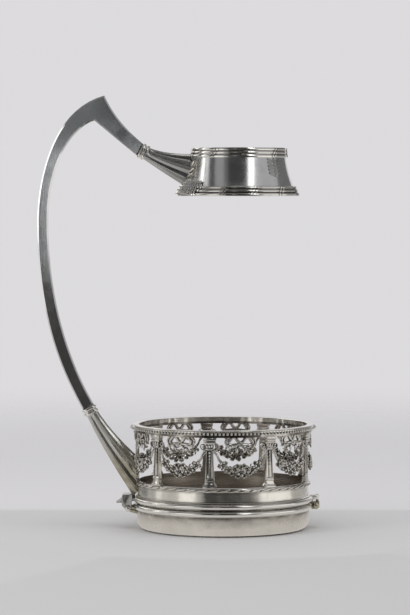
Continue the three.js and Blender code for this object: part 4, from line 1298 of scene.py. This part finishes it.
def fluted_socket(name, stations):
    """A round section is carried along the stations, and its flutes are sunk on the way."""
    deselect()
    bpy.ops.mesh.primitive_circle_add(vertices=FLUTES * PER_FLUTE, radius=MM, fill_type="NGON")
    piece = named(placed(bpy.context.object, turn=(0, math.pi / 2, 0)), name)
    half_wide, half_deep = stations[1][2:]

    def sink_flutes(centre):
        """The new ring's points in each flute are drawn towards the middle."""
        bpy.ops.object.mode_set(mode="OBJECT")
        steps = {}
        for point in piece.data.vertices:
            if point.select:
                offset = point.co - Vector(centre)
                turn = math.atan2(offset.y / half_deep, offset.z / half_wide) / (2 * math.pi)
                steps[point.index] = round(turn * FLUTES * PER_FLUTE) % PER_FLUTE
        for step, share in FLUTE_SHAPE.items():
            select_only(piece, lambda point: steps.get(point.index) == step)
            drawn_in = 1 - FLUTE_DEPTH * share
            bpy.ops.transform.resize(value=(1, drawn_in, drawn_in), center_override=centre)
        select_only(piece, lambda point: point.index in steps)

    edit(piece)
    carry(stations, sink_flutes)
    bpy.ops.object.mode_set(mode="OBJECT")
    return clean(piece)


def cut_with(piece, tool):
    modified(piece, "BOOLEAN", operation="DIFFERENCE", object=tool, solver="EXACT")
    bpy.data.objects.remove(tool)
    return piece


# %% Both sockets
CUT_STEPS = 128
lower_socket = fluted_socket("lower_socket_fluted", socket_stations(
    LOWER, (-50.6, DRUM_FOOT + 16.0), math.radians(48), (9.6, 6.2), 8.6))
drum_room = turned([
    (0, 0), (MOULDING_RADIUS + 0.1, 0), (MOULDING_RADIUS + 0.1, MOULDING_TOP + 0.1),
    (DRUM_RADIUS - 0.6, MOULDING_TOP + 0.1), (DRUM_RADIUS - 0.6, BORDER_FOOT + 0.1),
    (BORDER_RADIUS - 0.3, BORDER_FOOT + 0.1), (BORDER_RADIUS - 0.3, RIM_TOP), (0, RIM_TOP),
], steps=CUT_STEPS)
dress(smooth(cut_with(lower_socket, drum_room), 30), "stand", "lower_socket", finish=yellowed)

upper_socket = fluted_socket("upper_socket_fluted", socket_stations(
    UPPER, (SEAT_WALL - 1.4, NECK_FOOT + 15.4), math.radians(17), (11.3, 7.4), 7.5))
neck_room = turned([
    (0, NECK_FOOT - 1), *reversed(neck_curve(20, 0.15)), (0, NECK_TOP),
], steps=CUT_STEPS, axis_x=NECK_X)
dress(smooth(cut_with(upper_socket, neck_room), 30), "stand", "upper_socket", finish=fluted)

# %% [markdown]
# ## The palmette
#
# Where the upper socket meets the collar, a thin plate covers the solder joint, with a fan
# of long lobes on either side, framed by a raised line. The plate is a grid that is wrapped
# on the collar and thickened. A lobe is a seed shape, laid on the collar's sloping wall.

# %% Laying pieces on the collar
WALL_MIDDLE = (NECK_FOOT + NECK_TOP) / 2
HANDLE_SIDE = -math.pi / 2


def on_collar(piece, u, z, proud, side, **turns):
    """A piece modelled at the origin is set on the wall, u away from the middle of a side."""
    radius = neck_radius(z) + proud
    return placed(on_round(piece, radius, z, side + u / radius, **turns), at=(NECK_X, 0, 0))


# %% Lobes, frame and plate
# Each lobe: distance round the wall, height, length, and slope in degrees
FAN = ((11.4, 4.8, 4.8, 42), (11.4, 0.7, 6.6, 28), (10.6, -1.8, 8.0, 15), (11.2, -4.9, 8.6, 4))
FRAME_TOP, FRAME_FOOT = (14.1, 5.4), (18.8, -6.9)
FRAME_BITS = 6
FRAME_SLOPE = 0.37
WALL_SLOPE = -0.22
PLATE_WIDE, PLATE_HIGH = 27.6, 12.6
lobes = []
for side in (-1, 1):
    for u, v, length, degrees in FAN:
        spin = side * (math.pi / 2 - math.radians(degrees))
        lobe = ball((0.8, 1.1, length / 2), segments=12, rings=13)
        lobes.append(on_collar(lobe, side * u, WALL_MIDDLE + v, 0.35, HANDLE_SIDE,
                               spin=spin, lean=WALL_SLOPE))
    for i in range(FRAME_BITS):
        u, v = on_line(FRAME_TOP, FRAME_FOOT, (i + 0.5) / FRAME_BITS)
        frame_bit = ball((0.32, 0.42, 1.35), segments=6, rings=5)
        lobes.append(on_collar(frame_bit, side * u, WALL_MIDDLE + v, 0.1, HANDLE_SIDE,
                               spin=-FRAME_SLOPE * side, lean=WALL_SLOPE))
deselect()
bpy.ops.mesh.primitive_grid_add(x_subdivisions=18, y_subdivisions=9, size=1)
plate = placed(bpy.context.object, size=(PLATE_WIDE * MM, PLATE_HIGH * MM, 1))
placed(plate, turn=(math.pi / 2, 0, 0))
placed(plate, turn=(0, 0, HANDLE_SIDE))
placed(plate, at=(NECK_X - 36, 0, WALL_MIDDLE - 0.6))
modified(plate, "SHRINKWRAP", target=collar, wrap_method="PROJECT", use_project_x=True,
         use_negative_direction=False, use_positive_direction=True, offset=0.1 * MM)
modified(plate, "SOLIDIFY", thickness=0.4 * MM, offset=0.0)
palmette = joined([plate, *lobes], "palmette_lobes")
dress(smooth(palmette, 60), "stand", "palmette", finish=lobed)

# %% [markdown]
# ## Leaves over the collar's foot
#
# Below the palmette, four rows of small leaves overlap the reeded foot like tiles. They
# are copies of the garland's leaf, turned point down, and every other row is shifted by
# half a leaf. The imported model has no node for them, so they replace none and only ride on
# the stand.

# %% Four rows of leaves
FOOT_LEAVES = 27
ROWS_WIDE = 52
# Each row: its height from the middle of the wall, and how far it stands out
LEAF_ROWS = ((-6.2, 1.1), (-7.9, 1.5), (-9.6, 1.9), (-11.3, 2.3))
tiles = []
for row, (height, reach) in enumerate(LEAF_ROWS):
    for i in range(FOOT_LEAVES):
        share = (i + 0.5 * (row % 2)) / (FOOT_LEAVES - 1) - 0.5
        tile = placed(copy_of(pattern_leaf), size=(3.3, 3.6, 2.9))
        tiles.append(on_collar(tile, ROWS_WIDE * share, WALL_MIDDLE + height, reach, HANDLE_SIDE,
                               spin=math.pi, lean=-0.5, yaw=0.2 * math.sin(7.0 * i)))
foot_leaves = smooth(joined(tiles, "foot_leaves"), 50)
foot_leaves.data.materials.clear()
foot_leaves.data.materials.append(leafy)
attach(foot_leaves, "stand")
print("leaves over the foot:", len(foot_leaves.data.polygons), "faces")

# %% [markdown]
# ## A sprig on the collar
#
# The plain wall carries a small ornament on the side away from the handle. A laurel sprig
# is the usual choice: leaves in pairs along a stem. Laid on the wall in very low relief,
# they catch the light as cut lines do.

# %% Leaves in pairs on the wall
SPRIG_SIDE = math.radians(45)
SPRIG_FOOT, SPRIG_TOP = NECK_FOOT + 10.0, NECK_FOOT + 20.5
SPRIG_SLOPE = -0.16
PAIRS = 5
sprig = []
for i in range(PAIRS):
    z = SPRIG_FOOT + 1.2 + (SPRIG_TOP - SPRIG_FOOT - 2.6) * i / (PAIRS - 1)
    for side in (-1, 1):
        sprig_leaf = placed(copy_of(pattern_leaf), size=(4.6, 1.8, 5.2))
        sprig.append(on_collar(sprig_leaf, side * 2.5, z + 0.8, 0.04, SPRIG_SIDE,
                               spin=side * 0.95, lean=SPRIG_SLOPE))
    stalk = ball((0.32, 0.2, 1.35), segments=6, rings=5)
    sprig.append(on_collar(stalk, 0.0, z, 0.03, SPRIG_SIDE, lean=SPRIG_SLOPE))
top_leaf = placed(copy_of(pattern_leaf), size=(3.2, 1.2, 3.4))
sprig.append(on_collar(top_leaf, 0.0, SPRIG_TOP + 0.4, 0.02, SPRIG_SIDE, lean=SPRIG_SLOPE))
sprig = smooth(joined(sprig, "laurel_sprig"), 50)
bpy.data.objects.remove(pattern_leaf)
sprig.data.materials.clear()
sprig.data.materials.append(fluted)
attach(sprig, "stand")
print("sprig", len(sprig.data.polygons), "faces")

# %% [markdown]
# ## The cup
#
# The cup is spun from sheet: a flat floor, a rounded corner and an upright wall, with a
# thin bezel that slips inside the drum. An extruded disc would do for the outside, but a
# lathe profile gives the inside and the bezel too. Its moulding mirrors the one above, and
# is cut away for the catch.

# %% Cup shell
CUP_RADIUS = outer("cup_shell")
CUP_TOP = DRUM_FOOT - 0.3
CUP_CORNER = 5.4
CUP_WALL = 1.2
BEZEL_OUTER = DRUM_INSIDE - 0.3
BEZEL_INNER = BEZEL_OUTER - 0.9
BEZEL_FOOT, BEZEL_TOP = CUP_TOP - 6.0, CUP_TOP + 2.0
cup = turned([
    (0, 0),
    *arc((CUP_RADIUS - CUP_CORNER, CUP_CORNER), CUP_CORNER, -90, 0, 10),
    (CUP_RADIUS, CUP_TOP - 0.2),
    (CUP_RADIUS - 0.2, CUP_TOP),
    (BEZEL_OUTER, CUP_TOP),
    (BEZEL_OUTER, BEZEL_TOP),
    (BEZEL_INNER, BEZEL_TOP),
    (BEZEL_INNER, BEZEL_FOOT),
    (CUP_RADIUS - CUP_WALL, BEZEL_FOOT - (CUP_RADIUS - CUP_WALL - BEZEL_INNER)),
    *arc((CUP_RADIUS - CUP_CORNER, CUP_CORNER), CUP_CORNER - CUP_WALL, 0, -90, 8),
    (0, CUP_WALL),
])
dress(named(cup, "cup_spun"), "cup", "cup_shell")

# %% Cup moulding
CUP_BEAD_RADIUS = outer("cup_moulding")
NOTCH_HALF = span("catch_pin")[1].y + 0.3
NOTCH_REACH = 20
cup_moulding = turned([
    (CUP_RADIUS - WALL_BITE, CUP_BEAD_FOOT),
    (CUP_RADIUS + 0.7, CUP_BEAD_FOOT),
    (CUP_RADIUS + 0.7, CUP_BEAD_FOOT + FILLET),
    *swell(CUP_RADIUS + 1.0, CUP_BEAD_FOOT + FILLET, CUP_BEAD_TOP - 0.2, CUP_BEAD_RADIUS),
    (CUP_RADIUS + 0.8, CUP_BEAD_TOP),
    (CUP_RADIUS - WALL_BITE, CUP_BEAD_TOP),
])
deselect()
bpy.ops.mesh.primitive_cube_add(size=1)
notch = placed(bpy.context.object, at=(CUP_RADIUS + 5, 0, CUP_TOP / 2),
               size=(NOTCH_REACH * MM, 2 * NOTCH_HALF * MM, CUP_TOP * MM))
cup_moulding = named(smooth(cut_with(cup_moulding, notch)), "cup_bead_turned")
dress(cup_moulding, "cup", "cup_moulding")

# %% [markdown]
# ## Hinge and catch
#
# These are filed and drilled blocks. Their shapes in the model are right, so each is copied,
# its loose triangles are merged, and its edges are rounded as a file would leave them. The
# pins are turned, because the model's few facets would show on a ball.

# %% Filed pieces
TRIANGLE_GAP = 0.005


def filed(node, name, width):
    """A rounded copy of a node."""
    piece = copy_of(frame["nodes"][node])
    bpy.ops.object.parent_clear(type="CLEAR_KEEP_TRANSFORM")
    edit(settle(named(piece, name)))
    bpy.ops.mesh.remove_doubles(threshold=TRIANGLE_GAP * MM)
    bpy.ops.mesh.dissolve_limited(angle_limit=math.radians(2))
    bpy.ops.object.mode_set(mode="OBJECT")
    modified(piece, "BEVEL", width=width * MM, segments=2, limit_method="ANGLE",
             angle_limit=math.radians(35), use_clamp_overlap=True)
    return smooth(piece, 35)


def block(low, high, width):
    """A block with rounded edges between two corners in millimetres."""
    deselect()
    bpy.ops.mesh.primitive_cube_add(size=MM)
    middle = [(a + b) / 2 for a, b in zip(low, high)]
    piece = placed(bpy.context.object, at=middle, size=[b - a for a, b in zip(low, high)])
    return modified(piece, "BEVEL", width=width * MM, segments=3)


# The lower hinge leaf and the catch are painted dark olive: tarnish, and painted shade of the
# cavity between cup and drum.
# Each row: node, body, finish, and the root that joins it to the wall behind it
FILED = [
    ("hinge_leaf_upper", "stand", fluted, ((-55.6, -4.4, 15.9), (-50.6, 4.4, 19.3))),
    ("hinge_leaf_lower", "cup", tarnished_and_shaded, ((-55.0, -2.4, 10.7), (-50.0, 2.4, 13.4))),
    ("catch_bracket", "cup", tarnished_and_shaded, None),
    ("catch_keeper", "stand", leafy, ((49.6, -3.2, 17.0), (54.6, 3.2, 19.2))),
    ("catch_lever", "catch", tarnished_and_shaded, None),
]
FILED_EDGE, ROOT_EDGE = 0.22, 0.7
for node, body, finish, root in FILED:
    piece = filed(node, node + "_filed", FILED_EDGE)
    if root:
        piece = smooth(joined([piece, block(*root, ROOT_EDGE)], piece.name), 35)
    dress(piece, body, node, finish=finish)

# %% Turned pins
DOME_ANGLES = (0.3, 0.6, 0.9, 1.2, 1.5)
SHANK_SHARE = 0.45


def turned_pin(node, head):
    """A pin along Y with a rounded head of that length at each end."""
    low, high = span(node)
    radius = (high.z - low.z) / 2
    shank, neck = radius * SHANK_SHARE, high.y - head
    dome = [(radius * math.sin(a), neck + head * math.cos(a)) for a in reversed(DOME_ANGLES)]
    profile = [(0, low.y), *((r, -y) for r, y in reversed(dome)), (shank, -neck + 0.05),
               (shank, neck - 0.05), *dome, (0, high.y)]
    pin = placed(turned(profile, steps=32), turn=(-math.pi / 2, 0, 0))
    return placed(pin, at=((low.x + high.x) / 2, 0, (low.z + high.z) / 2))


dress(turned_pin("hinge_pin", 1.85), "stand", "hinge_pin", finish=polished)
# The catch pin is painted dark as well: tarnish, and painted shade of its cavity.
dress(turned_pin("catch_pin", 1.3), "cup", "catch_pin", finish=tarnished_and_shaded)

# %% [markdown]
# ## The table and the room
#
# The table is a pale disc. It is a little lighter behind the holder, and it fades into the
# pale wall of the room before its edge. The wall is the world's colour, which the camera,
# mirrors and glass see. The light that the world gives is set apart from it.

# %% Table
TABLE_RADIUS = 1.25
TABLE_FRONT, TABLE_BACK = (0.555, 0.55, 0.55), (0.645, 0.635, 0.645)
BACK_STARTS, BACK_FULL = 80, 100
FADE_STARTS, FADE_FULL = 350, 1200
deselect()
bpy.ops.mesh.primitive_circle_add(vertices=96, radius=TABLE_RADIUS, fill_type="NGON")
table = settle(named(bpy.context.object, "table"))
edit(table)
bpy.ops.mesh.inset(thickness=0.01, depth=0)
bpy.ops.object.mode_set(mode="OBJECT")
paper = Recipe("table_paper")
paper.shader.inputs["Roughness"].default_value = 0.7
paper.shader.inputs["Specular IOR Level"].default_value = 0.2
paper.link(paper.blend(paper.ramp(paper.along("Y"), BACK_STARTS, BACK_FULL), TABLE_FRONT,
                       TABLE_BACK), paper.shader.inputs["Base Color"])
fade = paper.add("ShaderNodeMixShader")
paper.link(paper.ramp(paper.reach(), FADE_STARTS, FADE_FULL), fade.inputs["Fac"])
paper.link(paper.shader.outputs["BSDF"], fade.inputs[1])
paper.link(paper.add("ShaderNodeBsdfTransparent").outputs["BSDF"], fade.inputs[2])
paper.link(fade.outputs["Shader"], paper.output.inputs["Surface"])
table.data.materials.append(paper.material)
print("table", 2 * TABLE_RADIUS, "m across")

# %% World
world = bpy.data.worlds.new("room")
bpy.context.scene.world = world
world.use_nodes = True
nodes, links = world.node_tree.nodes, world.node_tree.links
backdrop = nodes["Background"]
backdrop.inputs["Color"].default_value = (0.72, 0.708, 0.722, 1)
glow = nodes.new("ShaderNodeBackground")
glow.inputs["Color"].default_value = (0.68, 0.68, 0.69, 1)
path = nodes.new("ShaderNodeLightPath")
seen = path.outputs["Is Camera Ray"]
for ray in ("Is Glossy Ray", "Is Transmission Ray"):
    either = nodes.new("ShaderNodeMath")
    either.operation = "MAXIMUM"
    links.new(seen, either.inputs[0])
    links.new(path.outputs[ray], either.inputs[1])
    seen = either.outputs["Value"]
choice = nodes.new("ShaderNodeMixShader")
links.new(seen, choice.inputs["Fac"])
links.new(glow.outputs["Background"], choice.inputs[1])
links.new(backdrop.outputs["Background"], choice.inputs[2])
links.new(choice.outputs["Shader"], nodes["World Output"].inputs["Surface"])
bpy.context.scene.view_settings.view_transform = "Standard"
print("world:", len(nodes), "nodes")

# %% [markdown]
# ## What the silver mirrors
#
# Silver is a mirror, so what it reflects is as much a part of the picture as its shape. A
# photograph of the room could be wrapped round the scene, but plain screens are easier to
# place and to understand. A dark one stands for the room behind the camera, a tall window
# is at the right, and softer ones at the left and overhead. Only reflections show them.

# %% Screens that only reflections show


def screen(name, start, stop, first, last, tone):
    """A sector round the holder, between two directions from the front in degrees.
    It is spun from a line between two points, each (distance from the axis, height) in
    metres. tone is a colour and a strength."""
    begin = math.radians(start - 90)
    line_through([(reach * math.cos(begin), reach * math.sin(begin), height)
                  for reach, height in (first, last)])
    bpy.ops.mesh.spin(steps=12, angle=math.radians(start - stop), center=(0, 0, 0),
                      axis=(0, 0, 1))
    bpy.ops.object.mode_set(mode="OBJECT")
    piece = settle(named(bpy.context.object, name))
    recipe = Recipe(name + "_tone")
    emission = recipe.add("ShaderNodeEmission", Color=(*tone[:3], 1), Strength=tone[3])
    recipe.link(emission.outputs["Emission"], recipe.output.inputs["Surface"])
    piece.data.materials.append(recipe.material)
    for ray in ("camera", "diffuse", "shadow", "transmission", "volume_scatter"):
        setattr(piece, "visible_" + ray, False)


# %% The walls of the room
# Each row: name, start and stop from the front in degrees, where the bright table ends, and
# the grey level of the low and of the high part
NEAR, FAR = 0.66, 1.3
LEVEL, TIER, HIGH_FOOT, HIGH_TOP = 0.001, 0.2, 0.15, 1.7
WARM, COOL = (1.0, 0.98, 0.95), (0.97, 0.98, 1.0)
DIRECTIONS = [
    ("back_left", -150, -118, 0.32, 0.22, 0.16), ("far_left", -118, -96, 0.32, 0.42, 0.16),
    ("left_wall", -96, -86, 0.32, 0.66, 0.22), ("side_window", -86, -77, 0.32, 0.62, 0.80),
    ("door_frame", -77, -60, 0.32, 0.55, 0.07), ("pale_wall", -60, -36, 0.32, 1.05, 0.32),
    ("doorway", -36, -26, 0.14, 0.44, 0.14), ("dark_room", -26, 23, 0.14, 0.06, 0.05),
    ("tall_window", 23, 38, 0.14, 0.12, 1.90), ("bookcase", 38, 47, 0.20, 0.25, 0.50),
    ("right_wall", 47, 100, 0.32, 0.98, 0.44), ("right_corner", 100, 150, 0.32, 0.42, 0.15),
]
for label, start, stop, table_end, low_tone, high_tone in DIRECTIONS:
    low, high = (*WARM, low_tone), (*COOL, high_tone)
    screen(label + "_floor", start, stop, (table_end, LEVEL), (NEAR, LEVEL), low)
    screen(label + "_low", start, stop, (NEAR, LEVEL), (NEAR, TIER), low)
    screen(label + "_high", start, stop, (FAR, HIGH_FOOT), (FAR, HIGH_TOP), high)
print("directions of the room:", len(DIRECTIONS))

# %% Windows, lamps and the ceiling
# Each row: name, start and stop, the two ends of its line, and its tone
SCREENS = [
    ("near_table", 0, 360, (0.0462, 0.0008), (0.14, 0.0008), (*WARM, 0.62)),
    ("palm_window", -150, -116, (1.28, 0.3), (1.28, 1.5), (*WARM, 1.2)),
    ("ceiling", 0, 360, (0.001, 1.69), (FAR, 1.69), (1, 0.99, 0.97, 0.22)),
    ("skylight", 0, 360, (0.001, 1.6), (0.25, 1.6), (1, 1, 1, 1.4)),
    ("side_lamp", -99, -89, (0.655, 0.134), (0.655, 0.62), (1, 1, 0.98, 1.8)),
    ("side_lamp_foot", -99, -88, (0.655, 0.002), (0.655, 0.134), (1, 1, 0.98, 0.95)),
    ("grey_coat", -12, -4, (0.655, 0.134), (0.655, 0.222), (0.95, 0.98, 1.0, 0.86)),
    ("grey_hat", -12, -5.4, (1.29, 0.222), (1.29, 0.31), (0.95, 0.98, 1.0, 0.22)),
    ("hat_brim", -5.4, -4.2, (1.29, 0.222), (1.29, 0.31), (0.95, 0.98, 1.0, 0.14)),
]
for row in SCREENS:
    screen(*row)
print("screens:", 3 * len(DIRECTIONS) + len(SCREENS))

# %% [markdown]
# ## The light
#
# The screens give no light of their own. Two large, weak area lamps stand above and at the
# left, so that the table and the duller finishes get soft shading without a hard shadow.

# %% Two soft lamps


def softbox(name, place, aim, size, watts):
    deselect()
    bpy.ops.object.light_add(type="AREA", location=place)
    lamp = bpy.context.object
    lamp.name = name
    lamp.data.shape = "RECTANGLE"
    lamp.data.size, lamp.data.size_y = size
    lamp.data.energy = watts
    lamp.visible_camera = lamp.visible_glossy = False
    direction = Vector(aim) - Vector(place)
    lamp.rotation_euler = direction.to_track_quat("-Z", "Y").to_euler()


HOLDER = (0, 0, 0.1)
softbox("overhead", (0.1, -0.3, 1.5), HOLDER, (1.0, 0.8), 8)
softbox("left_front", (-1.1, -0.9, 0.7), HOLDER, (0.5, 0.8), 5)
print("lamps:", len(bpy.data.lights))
